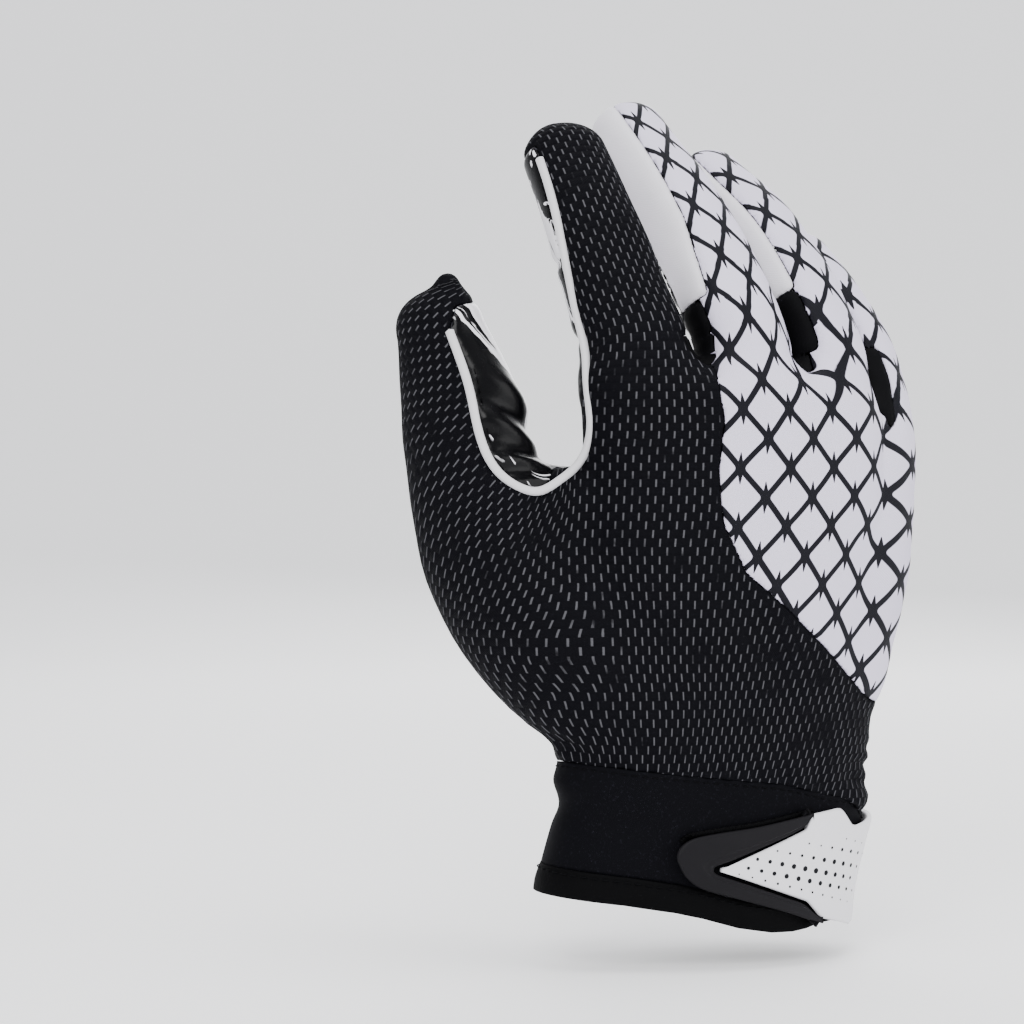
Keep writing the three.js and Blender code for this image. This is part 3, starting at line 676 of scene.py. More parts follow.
def cut_triangles(points, triangles, inside, extra):
    """The part of a mesh where a value is above zero. Cut edges are found by straight mixing."""
    sign = inside[triangles] > 0
    kept = sign.sum(1)
    whole = triangles[kept == 3]
    new_points, new_extra, cut = [points], [extra], []
    count = len(points)
    for number in (1, 2):
        chosen = triangles[kept == number]
        marks = sign[kept == number]
        if not len(chosen):
            continue
        lone = np.argmax(marks if number == 1 else ~marks, axis=1)
        rows = np.arange(len(chosen))
        a, b, c = (chosen[rows, (lone + i) % 3] for i in range(3))
        ends = []
        for other in (b, c):
            t = inside[a] / (inside[a] - inside[other])
            t = np.clip(t, 0.02, 0.98)[:, None]
            pairs = np.sort(np.stack([a, other], 1), axis=1)
            new_points.append(points[a] * (1 - t) + points[other] * t)
            new_extra.append(extra[a] * (1 - t) + extra[other] * t)
            ends.append(count + np.arange(len(pairs)))
            count += len(pairs)
        if number == 1:
            cut.append(np.stack([a, ends[0], ends[1]], 1))
        else:
            cut.append(np.stack([ends[0], b, c], 1))
            cut.append(np.stack([ends[0], c, ends[1]], 1))
    faces = np.vstack([whole] + cut)
    all_points, all_extra = np.vstack(new_points), np.vstack(new_extra)
    rounded = np.round(all_points / 0.02).astype(np.int64)
    _, first, group = np.unique(rounded, axis=0, return_index=True, return_inverse=True)
    group = group.reshape(-1)
    faces = group[faces]
    good = (faces[:, 0] != faces[:, 1]) & (faces[:, 1] != faces[:, 2]) & (faces[:, 0] != faces[:, 2])
    faces = faces[good]
    used, numbers = np.unique(faces, return_inverse=True)
    return all_points[first][used], numbers.reshape(faces.shape), all_extra[first][used]


def without_specks(points, faces, extra, least=60):
    """A mesh without its loose bits of few triangles. Labels spread along the edges until they settle."""
    label = np.arange(len(points))
    for _ in range(2000):
        lowest = label[faces].min(1)
        new = label.copy()
        for i in range(3):
            np.minimum.at(new, faces[:, i], lowest)
        new = new[new]
        if (new == label).all():
            break
        label = new
    names, count = np.unique(label[faces[:, 0]], return_counts=True)
    faces = faces[np.isin(label[faces[:, 0]], names[count >= least])]
    used, numbers = np.unique(faces, return_inverse=True)
    return points[used], numbers.reshape(faces.shape), extra[used]


def mesh_piece(name, points, faces, material, uv=None, seam=None):
    """A smooth mesh object in metres from points in millimetres, with its places on the flat cloth."""
    mesh = bpy.data.meshes.new(name)
    mesh.from_pydata((np.asarray(points) * MM).tolist(), [], np.asarray(faces).tolist())
    mesh.polygons.foreach_set("use_smooth", np.ones(len(mesh.polygons), bool))
    if uv is not None:
        corners = np.zeros(len(mesh.loops), np.int32)
        mesh.loops.foreach_get("vertex_index", corners)
        layer = mesh.uv_layers.new(name="cloth")
        layer.data.foreach_set("uv", np.asarray(uv, np.float32)[corners].ravel())
    if seam is not None:
        attribute = mesh.attributes.new("seam", "FLOAT", "POINT")
        attribute.data.foreach_set("value", np.asarray(seam, np.float32))
    mesh.materials.append(material)
    piece = bpy.data.objects.new(name, mesh)
    bpy.context.scene.collection.objects.link(piece)
    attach(piece, "root")
    return piece


def thicken(piece, wall):
    """Gives a sheet its wall in millimetres, inward from its surface."""
    solid = piece.modifiers.new("wall", "SOLIDIFY")
    solid.thickness = wall * MM
    solid.offset = -1.0
    solid.use_rim = True
    return piece


class Finish:
    """A material built from nodes: each method adds a node and gives back its output."""

    def __init__(self, name, color, roughness, **shader):
        self.material = bpy.data.materials.new(name)
        self.material.use_nodes = True
        self.tree = self.material.node_tree
        self.shader = self.tree.nodes["Principled BSDF"]
        self.set("Base Color", (*color, 1))
        self.set("Roughness", roughness)
        for key, value in shader.items():
            self.set(key.replace("_", " "), value)
        self.heights = []

    def feed(self, target, value):
        """Links an output to an input, or sets the input to a value."""
        if isinstance(value, bpy.types.NodeSocket):
            self.tree.links.new(value, target)
        else:
            target.default_value = value

    def set(self, socket, value):
        """Links or sets an input of the shader."""
        self.feed(self.shader.inputs[socket], value)

    def node(self, kind, settings=None, **inputs):
        """A node with its settings and inputs, which are numbers or other nodes' outputs."""
        node = self.tree.nodes.new(kind)
        for key, value in (settings or {}).items():
            setattr(node, key, value)
        for key, value in inputs.items():
            self.feed(node.inputs[key.replace("_", " ")], value)
        return node

    def math(self, operation, *values):
        """A Math node on numbers or outputs."""
        node = self.tree.nodes.new("ShaderNodeMath")
        node.operation = operation
        for i, value in enumerate(values):
            self.feed(node.inputs[i], value)
        return node.outputs[0]

    def times(self, *values):
        """The product of two numbers or outputs."""
        return self.math("MULTIPLY", *values)

    def plus(self, *values):
        """The sum of two numbers or outputs."""
        return self.math("ADD", *values)

    def minus(self, *values):
        """The first of two numbers or outputs less the second."""
        return self.math("SUBTRACT", *values)

    def step(self, value, low, high):
        """Smooth step from 0 at low to 1 at high. With low above high it falls."""
        node = self.tree.nodes.new("ShaderNodeMapRange")
        node.interpolation_type = "SMOOTHSTEP"
        self.tree.links.new(value, node.inputs["Value"])
        turned = low > high
        node.inputs["From Min"].default_value = min(low, high)
        node.inputs["From Max"].default_value = max(low, high)
        node.inputs["To Min"].default_value = 1.0 if turned else 0.0
        node.inputs["To Max"].default_value = 0.0 if turned else 1.0
        return node.outputs["Result"]

    def cloth_place(self):
        """The place on the flat cloth in millimetres: across and along."""
        source = self.node("ShaderNodeUVMap", {"uv_map": "cloth"}).outputs["UV"]
        parts = self.node("ShaderNodeSeparateXYZ", Vector=source)
        return parts.outputs["X"], parts.outputs["Y"]

    def object_place(self):
        """The place in the object in metres."""
        return self.node("ShaderNodeTexCoord").outputs["Object"]

    def vector(self, x, y, z=0.0):
        """A vector from three values."""
        return self.node("ShaderNodeCombineXYZ", X=x, Y=y, Z=z).outputs[0]

    def noise(self, place, scale, detail=2.0, rough=0.5):
        """Noise between 0 and 1."""
        node = self.node("ShaderNodeTexNoise", Vector=place, Scale=scale, Detail=detail, Roughness=rough)
        return node.outputs[0]

    def mix(self, share, first, second):
        """A colour between two by a share."""
        node = self.tree.nodes.new("ShaderNodeMix")
        node.data_type = "RGBA"
        for socket, value in ((node.inputs[0], share), (node.inputs[6], first), (node.inputs[7], second)):
            self.feed(socket, (*value, 1) if isinstance(value, tuple) else value)
        return node.outputs[2]

    def seam(self):
        """Distance to the nearest seam in millimetres."""
        return self.node("ShaderNodeAttribute", {"attribute_name": "seam"}).outputs["Fac"]

    def bump(self, height, depth, strength=1.0):
        """Relief of a depth in millimetres from a height between 0 and 1."""
        node = self.node("ShaderNodeBump", Height=height, Strength=strength, Distance=depth * MM)
        if self.heights:
            self.tree.links.new(self.heights[-1], node.inputs["Normal"])
        self.heights.append(node.outputs[0])
        self.set("Normal", node.outputs[0])


def fine_knit(finish, across, along, pitch=0.55, depth=0.05):
    """Relief of a fine knit: crossed waves of one stitch pitch in millimetres."""
    turn = 2 * np.pi / pitch
    u = finish.math("SINE", finish.times(across, turn))
    v = finish.math("SINE", finish.times(along, turn * 0.8))
    wave = finish.math("MULTIPLY_ADD", finish.times(u, v), 0.5, 0.5)
    finish.bump(wave, depth)
    return wave


def mesh_finish():
    """Black knit with staggered rows of short pale dashes, which are painted glints of light on the knit, and
    a lozenge relief between them.
    """
    f = Finish("black mesh knit", (0.004, 0.004, 0.006), 0.75, Specular_IOR_Level=0.05)
    across, along = f.cloth_place()
    row = f.math("DIVIDE", along, 2.63)
    number = f.math("FLOOR", row)
    shift = f.times(f.math("MODULO", f.math("ABSOLUTE", number), 2.0), 0.5)
    column = f.plus(f.math("DIVIDE", across, 3.25), shift)
    part_u = f.math("ABSOLUTE", f.minus(f.math("FRACT", column), 0.5))
    part_v = f.math("ABSOLUTE", f.minus(f.math("FRACT", row), 0.5))
    # The pale dashes are painted glints: light on the knit's small dashes, patchy and fading near the seams.
    narrow = f.step(part_u, 0.072, 0.042)
    short = f.step(part_v, 0.49, 0.41)
    dash_glint = f.times(narrow, short)
    place = f.object_place()
    patchy = f.noise(place, 160.0, 3.0)
    dash_glint = f.times(dash_glint, f.step(patchy, 0.28, 0.5))
    seam_fade = f.step(f.seam(), 0.9, 1.5)
    dash_glint = f.times(dash_glint, seam_fade)
    lozenge = f.plus(f.step(part_u, 0.5, 0.0), f.step(part_v, 0.5, 0.1))
    fine = f.noise(place, 2600.0, 2.0)
    dark = f.mix(fine, (0.001, 0.001, 0.0018), (0.004, 0.004, 0.006))
    f.set("Base Color", f.mix(dash_glint, dark, (0.078, 0.078, 0.086)))
    f.bump(lozenge, 0.35, 0.7)
    fine_knit(f, across, along, 0.62, 0.09)
    return f.material


def print_finish():
    """Pale lilac stretch cloth with a dark diamond net whose crossings are four-pointed knots."""
    f = Finish("printed stretch cloth", (0.70, 0.68, 0.78), 0.6, Specular_IOR_Level=0.12)
    across, along = f.cloth_place()
    place = f.object_place()
    wander = f.math("MULTIPLY_ADD", f.noise(place, 45.0, 1.0), 1.6, -0.8)
    u = f.math("DIVIDE", f.plus(across, wander), 11.4)
    v = f.math("DIVIDE", along, 14.6)
    first = f.plus(u, v)
    second = f.minus(u, v)
    to_first = f.math("ABSOLUTE", f.minus(f.math("FRACT", first), 0.5))
    to_second = f.math("ABSOLUTE", f.minus(f.math("FRACT", second), 0.5))

    def strand(distance, other):
        near = f.step(other, 0.20, 0.0)
        width = f.math("MULTIPLY_ADD", f.math("POWER", near, 2.0), 0.115, 0.078)
        return f.step(f.minus(distance, width), 0.012, -0.012)

    net = f.math("MAXIMUM", strand(to_first, to_second), strand(to_second, to_first))
    signed_first = f.minus(f.math("FRACT", first), 0.5)
    signed_second = f.minus(f.math("FRACT", second), 0.5)
    knot_u = f.math("ABSOLUTE", f.plus(signed_first, signed_second))
    knot_v = f.math("ABSOLUTE", f.minus(signed_first, signed_second))
    spike = f.step(f.math("MULTIPLY_ADD", knot_v, 0.26, knot_u), 0.165, 0.145)
    spike = f.times(spike, f.step(knot_v, 0.56, 0.52))
    net = f.math("MAXIMUM", net, spike)
    tone = f.noise(place, 22.0, 2.0)
    pale = f.mix(tone, (0.61, 0.57, 0.72), (0.75, 0.71, 0.84))
    f.set("Base Color", f.mix(net, pale, (0.004, 0.004, 0.007)))
    fine_knit(f, across, along, 0.5, 0.05)
    f.bump(f.noise(place, 900.0, 2.0), 0.04)
    return f.material


def palm_finish():
    """Glossy coated palm: brushed black and white streaks from stretched noise, with drops and grain."""
    f = Finish("coated palm", (0.5, 0.5, 0.5), 0.3,
               Coat_Weight=0.02, Coat_Roughness=0.15, Specular_IOR_Level=0.12)
    across, along = f.cloth_place()
    low_part = f.times(f.math("MINIMUM", along, 116.0), -0.62)
    high_part = f.times(f.math("MAXIMUM", f.minus(along, 116.0), 0.0), -0.10)
    side = f.plus(f.plus(across, low_part), high_part)
    down = along
    sway = f.noise(f.vector(f.times(side, 0.05), f.times(down, 0.03)), 1.0, 2.0)
    side = f.plus(side, f.times(sway, 16.0))
    ragged = f.noise(f.vector(f.times(side, 0.9), f.times(down, 0.5)), 1.0, 3.0)
    side = f.plus(side, f.times(ragged, 0.9))
    streak = f.noise(f.vector(f.times(side, 0.33), f.times(down, 0.026)), 1.0, 3.0, 0.6)
    mass = f.noise(f.vector(f.times(side, 0.075), f.times(down, 0.024)), 1.0, 1.0)
    level = f.plus(streak, f.math("MULTIPLY_ADD", mass, 1.0, -0.5))
    index_edge = f.times(f.step(across, -24.0, -38.0), f.step(across, -64.0, -52.0))
    darker = f.math("MULTIPLY_ADD", f.step(along, 116.0, 128.0), -0.08, -0.06)
    level = f.math("MULTIPLY_ADD", index_edge, darker, level)
    white = f.step(level, 0.515, 0.530)
    drops = f.node("ShaderNodeTexVoronoi", {"voronoi_dimensions": "2D"}, Scale=1.0, Randomness=1.0,
                   Vector=f.vector(f.times(side, 0.36), f.times(down, 0.16)))
    size = f.math("MULTIPLY_ADD", ragged, 0.45, -0.10)
    drop = f.step(f.minus(drops.outputs["Distance"], size), 0.03, -0.01)
    here = f.noise(f.vector(f.times(side, 0.09), f.times(down, 0.06)), 1.0, 1.0)
    drop = f.times(drop, f.step(here, 0.54, 0.58))
    white = f.math("MAXIMUM", white, drop)
    grey = f.times(f.step(mass, 0.60, 0.64), 0.5)
    pale = f.mix(grey, (0.80, 0.79, 0.82), (0.62, 0.61, 0.64))
    color = f.mix(white, (0.0015, 0.0015, 0.002), pale)
    thread = f.times(f.step(f.seam(), 0.5, 0.2), 0.8)
    f.set("Base Color", f.mix(thread, color, (0.05, 0.05, 0.06)))
    place = f.object_place()
    f.bump(f.noise(place, 1400.0, 2.0), 0.03)
    f.bump(f.noise(place, 110.0, 3.0), 0.25, 0.6)
    f.set("Roughness", f.math("MULTIPLY_ADD", f.noise(place, 90.0, 2.0), 0.16, 0.18))
    return f.material


def stretch_finish(name, color, roughness=0.5):
    """Smooth stretch cloth with a fine knit, a slightly uneven tone and painted shade along its seams."""
    f = Finish(name, color, roughness, Sheen_Weight=0.2, Sheen_Roughness=0.4)
    across, along = f.cloth_place()
    place = f.object_place()
    dark = tuple(c * 0.86 for c in color)
    shade = f.mix(f.noise(place, 60.0, 2.0), dark, color)
    # Painted shade: within 0.8 mm of a seam the cloth is mixed toward a dark copy of its colour.
    edge = f.times(f.step(f.seam(), 0.8, 0.0), 0.35)
    f.set("Base Color", f.mix(edge, shade, tuple(c * 0.35 for c in color)))
    fine_knit(f, across, along, 0.45, 0.04)
    return f.material


def plain_finish(name, color, roughness, grain=900.0, depth=0.04, spread=0.8, **shader):
    """Rubber or binding with a fine grain and a slightly uneven tone."""
    f = Finish(name, color, roughness, **shader)
    place = f.object_place()
    low = tuple(c * spread for c in color)
    f.set("Base Color", f.mix(f.noise(place, 70.0, 3.0), low, color))
    f.bump(f.noise(place, grain, 2.0), depth)
    return f.material


def neoprene_finish():
    """Black smooth knit over foam, with tiny pale flecks."""
    f = Finish("foam backed knit", (0.004, 0.004, 0.006), 0.75, Specular_IOR_Level=0.06)
    across, along = f.cloth_place()
    place = f.object_place()
    fleck = f.step(f.noise(place, 1500.0, 2.0), 0.58, 0.74)
    f.set("Base Color", f.mix(fleck, (0.0015, 0.0015, 0.0026), (0.006, 0.006, 0.009)))
    fine_knit(f, across, along, 0.5, 0.05)
    f.bump(f.noise(place, 60.0, 3.0), 0.3, 0.5)
    return f.material


def webbing_finish():
    """Grey woven tape: ribs along it crossed by fine picks, with painted shade in the hollows of the weave.
    """
    f = Finish("grey webbing", (0.22, 0.217, 0.222), 0.75, Specular_IOR_Level=0.25)
    across, along = f.cloth_place()
    rib = f.math("SINE", f.times(across, 2 * np.pi / 1.0))
    pick = f.math("SINE", f.times(along, 2 * np.pi / 0.55))
    weave = f.math("MULTIPLY_ADD", f.times(rib, pick), 0.5, 0.5)
    # Painted shade: the colour is darker where the weave's relief is low.
    f.set("Base Color", f.mix(weave, (0.11, 0.108, 0.112), (0.20, 0.198, 0.202)))
    f.bump(weave, 0.12)
    return f.material


mesh_material = mesh_finish()
print_material = print_finish()
palm_material = palm_finish()
side_material = stretch_finish("white side cloth", (0.76, 0.74, 0.79))
insert_material = plain_finish("black stretch cloth", (0.002, 0.002, 0.0027), 0.7, 1400.0, 0.05, 0.6,
                               Specular_IOR_Level=0.06)
piping_material = plain_finish("pale binding", (0.70, 0.69, 0.71), 0.55, 1500.0, 0.06, 0.9, Sheen_Weight=0.2)
cuff_material = neoprene_finish()
hem_material = plain_finish("black binding", (0.0018, 0.0018, 0.0022), 0.72, 1100.0, 0.08, 0.6,
                            Specular_IOR_Level=0.05)
strap_material = plain_finish("white rubber", (0.78, 0.77, 0.80), 0.42, 700.0, 0.03, 0.96)
base_material = plain_finish("dark rubber", (0.0075, 0.007, 0.0085), 0.55, 500.0, 0.05, 0.75,
                             Specular_IOR_Level=0.1)
# Painted shade: the recesses and the groove of the strap are dark discs and strips laid over it, not cut into
# it.
recess_shade_material = plain_finish("dark recess", (0.010, 0.010, 0.012), 0.8, Specular_IOR_Level=0.1)
webbing_material = webbing_finish()
thread_material = plain_finish("black thread", (0.002, 0.002, 0.0026), 0.7, Specular_IOR_Level=0.05)
grey_thread_material = plain_finish("grey thread", (0.16, 0.16, 0.165), 0.6)


# The hand's surface, its panels and their walls.
GRID_LOW = (-86.0, -30.0, 18.0)
GRID_HIGH = (75.0, 56.0, 212.0)
hand_points, hand_squares = surface_from_grid(grid_values(GRID_LOW, GRID_HIGH), GRID_LOW)
hand_points = onto_surface(hand_points)
hand_triangles = np.vstack([hand_squares[:, [0, 1, 2]], hand_squares[:, [0, 2, 3]]])
hand_faces = outward(hand_points, hand_triangles)
hand_info = places(hand_points)
hand_panels = panel_values(hand_info)
owner_distance = np.max(list(hand_panels.values()), axis=0)
_, hand_slope = slope(hand_value, hand_points)
relief = cloth_relief(hand_points, hand_info, np.clip(owner_distance, 0, None))
hand_shape = hand_points + unit(hand_slope) * relief[:, None]


def stretched(flat, thumb_share):
    """Places on the relaxed knit: its columns spread from the wrist up, and it turns on the thumb."""
    u, v = flat.T
    turn = np.radians(42) * ramp(-44, -58, u) * ramp(60, 130, v) * ramp(0.01, 0.2, thumb_share)
    pivot_u, pivot_v = -68, 86
    du, dv = u - pivot_u, v - pivot_v
    ru = du * np.cos(turn) - dv * np.sin(turn) + pivot_u
    rv = du * np.sin(turn) + dv * np.cos(turn) + pivot_v
    heights = np.array([20.0, 35, 60, 90, 115, 260])
    wide = np.array([0.70, 0.72, 0.86, 0.98, 1.02, 1.02])
    tall = np.array([0.82, 0.82, 0.86, 0.82, 0.74, 0.70])
    fine = np.linspace(20, 260, 241)
    length = np.concatenate([[0], np.cumsum(1 / np.interp(fine[1:], heights, tall))])
    return np.stack([ru / np.interp(v, heights, wide), np.interp(rv, fine, length)], 1)


PANEL_MATERIALS = {"palm_panel": palm_material, "back_print": print_material, "back_mesh": mesh_material}
sizes = {}
panel_pieces = {}
for node, inside in hand_panels.items():
    inside = np.minimum(inside - GAP / 2, hand_info["bottom"])
    flat = hand_info["flat_palm"] if node == "palm_panel" else hand_info["flat_back"]
    pattern = stretched(flat, hand_info["share"]["thumb"]) if node == "back_mesh" else flat
    extra = np.column_stack([pattern, flat, owner_distance])
    points, faces, extra = cut_triangles(hand_shape, hand_faces, inside, extra)
    points, faces, extra = without_specks(points, faces, extra)
    a, b, c = (points[faces[:, i]] for i in range(3))
    area = np.linalg.norm(np.cross(b - a, c - a), axis=1).sum() / 2 * MM * MM
    default = side_material if node.startswith("gusset") else insert_material
    material = PANEL_MATERIALS.get(node, default)
    piece = mesh_piece(node + "_cloth", points, faces, material, extra[:, :2], extra[:, 4])
    thicken(piece, WALL)
    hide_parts(node)
    span = np.ptp(extra[:, 2:4], axis=0) * MM
    if node.startswith("web_insert"):
        span[0] = area / (INSERT_FILL * span[1])
    sizes[node] = (float(max(span[0], 0.01)), float(max(span[1], 0.01)), float(area))
    panel_pieces[node] = piece


def circles(side, up, sides):
    """Circles of radius one in the planes of two directions."""
    turn = 2 * np.pi * np.arange(sides) / sides
    return np.cos(turn)[None, :, None] * side[:, None] + np.sin(turn)[None, :, None] * up[:, None]


def tube(path, radius, sides=12):
    """A round cord along a path: circles square to its direction, closed by a point at each end."""
    along = unit(np.gradient(path, axis=0))
    side = unit(np.cross(along, (0.3, 0.9, 0.1)))
    rings = path[:, None] + radius * circles(side, np.cross(side, along), sides)
    ends = [path[:1] - along[:1] * radius * 0.5, path[-1:] + along[-1:] * radius * 0.5]
    points = np.vstack([rings.reshape(-1, 3)] + ends)
    i, j = np.meshgrid(np.arange(len(path) - 1), np.arange(sides), indexing="ij")
    a, b = (i * sides + j).ravel(), (i * sides + (j + 1) % sides).ravel()
    faces = np.vstack([np.stack([a, b, b + sides], 1), np.stack([a, b + sides, a + sides], 1)])
    k = np.arange(sides)
    first, last = len(path) * sides, len(path) * sides + 1
    top = (len(path) - 1) * sides
    start = np.stack([(k + 1) % sides, k, np.full(sides, first)], 1)
    end = np.stack([top + k, top + (k + 1) % sides, np.full(sides, last)], 1)
    return points, outward(points, np.vstack([faces, start, end]))


def round_finger(name, distance, degrees, grow=0.0):
    """A point round a finger's section at a distance along it and an angle from the nail side."""
    line = LINES[name]
    angle = np.radians(degrees)
    at = line["distance"]
    pick = lambda key: np.stack([np.interp(distance, at, line[key][:, i]) for i in range(3)], -1)
    a = np.interp(distance, line["distance"], line["a"]) + grow
    b = np.interp(distance, line["distance"], line["b"]) + grow
    sine, cosine = np.sin(angle), np.cos(angle)
    reach = 1 / rim(sine, cosine, DIGIT_POWER)
    sideways = pick("side") * (sine * reach * a)[:, None]
    return pick("centre") + sideways + pick("nail") * (cosine * reach * b)[:, None]


def even_path(points, spacing):
    """A smooth path through points, in even steps."""
    fine = smooth_rows(points, 12)
    length = lengths_along(fine)
    count = max(int(length[-1] / spacing), 2)
    at = np.linspace(0, length[-1], count + 1)
    return np.stack([np.interp(at, length, fine[:, i]) for i in range(3)], 1)


def on_seam(path, rounds=4):
    """A path moved onto the surface and onto the seam between the palm and the back."""
    seam_value = lambda points: places(points)["palm"]
    for _ in range(rounds):
        path = onto_surface(path, hand_value, 1, 1.0)
        path = onto_surface(path, seam_value, 1, 0.8)
    return onto_surface(path, hand_value, 2, 1.0)


def steady(path, rounds=6):
    """A path with its corners eased: each inner point moves toward the middle of its neighbours."""
    for _ in range(rounds):
        path = path.copy()
        path[1:-1] = path[1:-1] * 0.5 + (path[:-2] + path[2:]) * 0.25
    return path


# The pale binding along the thumb, the web and the index finger.
thumb_rows = np.array(PIPING_THUMB, float)
index_rows = np.array(PIPING_INDEX, float)
binding_guide = np.vstack([
    round_finger("thumb", thumb_rows[:, 0], thumb_rows[:, 1]),
    np.array(PIPING_WEB, float),
    round_finger("index", index_rows[:, 0], index_rows[:, 1]),
])
binding_path = even_path(steady(on_seam(even_path(binding_guide, 2.0)), 8), 1.2)
piping_points, piping_faces = tube(binding_path, PIPING_RADIUS)
piping = mesh_piece("piping_tube", piping_points, piping_faces, piping_material)
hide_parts("piping")


def sleeve_point(angle, over_hem, grow):
    """A point of the wrist band: a superellipse on the arched palm, height taken over the slanted hem."""
    cosine, sine = np.cos(angle), np.sin(angle)
    height = over_hem.copy()
    for _ in range(5):
        wide, deep = table_value(PALM_ROWS, 3, height), table_value(PALM_ROWS, 4, height)
        across = np.sign(cosine) * (wide + grow) * np.abs(cosine) ** (2 / PALM_POWER)
        over = np.sign(sine) * (deep + grow) * np.abs(sine) ** (2 / PALM_POWER)
        height = over_hem + HEM_SLOPE * across
    cx, cy, radius, turn = (table_value(PALM_ROWS, i, height) for i in (1, 2, 5, 6))
    x = (radius + over) * np.sin(across / radius)
    y = radius - (radius + over) * np.cos(across / radius)
    turn = np.radians(turn)
    lean = table_value(LEAN, 1, over_hem) * np.clip(cosine, 0, 1) ** 1.5
    x_place = cx + x * np.cos(turn) - y * np.sin(turn) + lean
    return np.stack([x_place, cy + x * np.sin(turn) + y * np.cos(turn), height], -1)


# Even steps round the wrist band: angle against distance. The angle runs from the palm side over the
# little finger.
band_angle = np.linspace(-np.pi, np.pi, 2881)
band_line = sleeve_point(band_angle, np.full(len(band_angle), 14.0), 0.0)
band_length = lengths_along(band_line)


def angle_at(distance):
    """The angle round the wrist band at a distance round it."""
    return np.interp(distance, band_length, band_angle)


def on_band(plan, grow):
    """Points of the wrist band at rows of distance round it and height over the hem."""
    return sleeve_point(angle_at(plan[:, 0]), plan[:, 1], grow)


def band_place(angle):
    """Places across and over the palm at an angle round the band, as its top edge takes them."""
    across = np.sign(np.cos(angle)) * 40 * np.abs(np.cos(angle)) ** (2 / PALM_POWER)
    over = np.sign(np.sin(angle)) * 17.5 * np.abs(np.sin(angle)) ** (2 / PALM_POWER)
    return across, over


def distance_where(front, across):
    """The distance round the band at a place across the picture, or at a place in x behind it."""
    if front:
        shown = (band_angle > 0.0) & (band_angle < np.pi)
        value = band_line[:, 0] * CAMERA_RIGHT[0] + band_line[:, 1] * CAMERA_RIGHT[1]
    else:
        shown = (band_angle < 0.0) & (band_angle > -np.pi)
        value = band_line[:, 0]
    order = np.argsort(value[shown])
    return np.interp(across, value[shown][order], band_length[shown][order])


def picture_place(points):
    """Places across and up in the photograph's plane as the camera sees them, in millimetres."""
    up = np.cross(CAMERA_BACK, CAMERA_RIGHT)
    away = points - (CAMERA_RIGHT * PICTURE_MIDDLE[0] + (0, 0, PICTURE_MIDDLE[1]))
    grown = CAMERA_DISTANCE / (CAMERA_DISTANCE - away @ CAMERA_BACK)
    return PICTURE_MIDDLE[0] + (away @ CAMERA_RIGHT) * grown, PICTURE_MIDDLE[1] + (away @ up) * grown


def picture_to_band(rows, grow):
    """Distance round the band and height over the hem of places in the picture, from a fine grid."""
    start, end = np.interp((0.0, np.pi), band_angle, band_length)
    d, v = np.meshgrid(np.linspace(start - 4, end, 1300), np.linspace(-8, 38, 460))
    across, up = picture_place(sleeve_point(angle_at(d).ravel(), v.ravel(), np.full(d.size, grow)))
    turned_away = (np.gradient(across.reshape(d.shape), axis=1) > 0).ravel()
    cost = np.where(turned_away, 1e6, 0.0)
    nearest = [np.argmin((across - a) ** 2 + (up - z) ** 2 + cost) for a, z in rows]
    return np.stack([d.ravel()[nearest], v.ravel()[nearest]], 1)


def hem_drop(distance):
    """How far the hem hangs lower at a distance round the band."""
    rows = np.array(HEM_DROP, float)
    at = distance_where(True, rows[:, 0])
    order = np.argsort(at)
    return np.interp(distance, at[order], rows[:, 1][order], left=0.0, right=0.0)


def grid_faces(rows, columns, closed=False):
    """Squares of a grid of points, joined end to end if closed."""
    i, j = np.meshgrid(np.arange(rows - 1), np.arange(columns if closed else columns - 1), indexing="ij")
    a = (i * columns + j).ravel()
    b = (i * columns + (j + 1) % columns).ravel()
    return np.stack([a, b, b + columns, a + columns], 1)


def facing_out(points, faces):
    """Faces turned away from the middle line of the wrist."""
    middle = points[faces].mean(1)
    away = middle * (1, 1, 0)
    normal = np.cross(points[faces[:, 1]] - points[faces[:, 0]], points[faces[:, 2]] - points[faces[:, 0]])
    return faces if (normal * away).sum() > 0 else faces[:, ::-1]


def band_waves(distance, over_hem):
    """Slight waves of the foam band, and on the thumb side a dent with a roll above it."""
    total = band_length[-1]
    turn = 2 * np.pi * distance / total
    wave = 0.22 * np.sin(3 * turn + over_hem * 0.12) + 0.16 * np.sin(7 * turn + 1.0 - over_hem * 0.2)
    thumb_side = np.exp(-(np.minimum(np.abs(distance - total), distance) / 13) ** 2)
    roll = 0.9 * np.exp(-(((over_hem - 27) / 2.6) ** 2))
    return wave + thumb_side * (roll - 1.0 * np.exp(-(((over_hem - 21) / 3.2) ** 2)))


def band_piece(name, low, high, grow, material, levels, count=420, waves=band_waves, wall=CUFF_WALL):
    """A closed band round the wrist between two heights over the hem, with waves, as a sheet with a wall."""
    distance = np.linspace(0, band_length[-1], count, endpoint=False)
    height = np.linspace(low, high, levels)
    d, v = np.meshgrid(distance, height)
    if low > 1:
        share = (v - low) / (high - low)
        v = v - hem_drop(d) * (1 - share) + band_edge(*band_place(angle_at(d))) * share
    else:
        v = v - hem_drop(d)
    points = sleeve_point(angle_at(d).ravel(), v.ravel(), grow + waves(d, v).ravel())
    faces = facing_out(points, grid_faces(levels, count, True))
    piece = mesh_piece(name, points, faces, material, np.stack([d.ravel(), v.ravel()], 1))
    thicken(piece, wall)
    return piece


cuff = band_piece("cuff_band", HEM_HEIGHT + GAP, CUFF_HEIGHT - 0.05, 0.0, cuff_material, 34)
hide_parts("cuff")


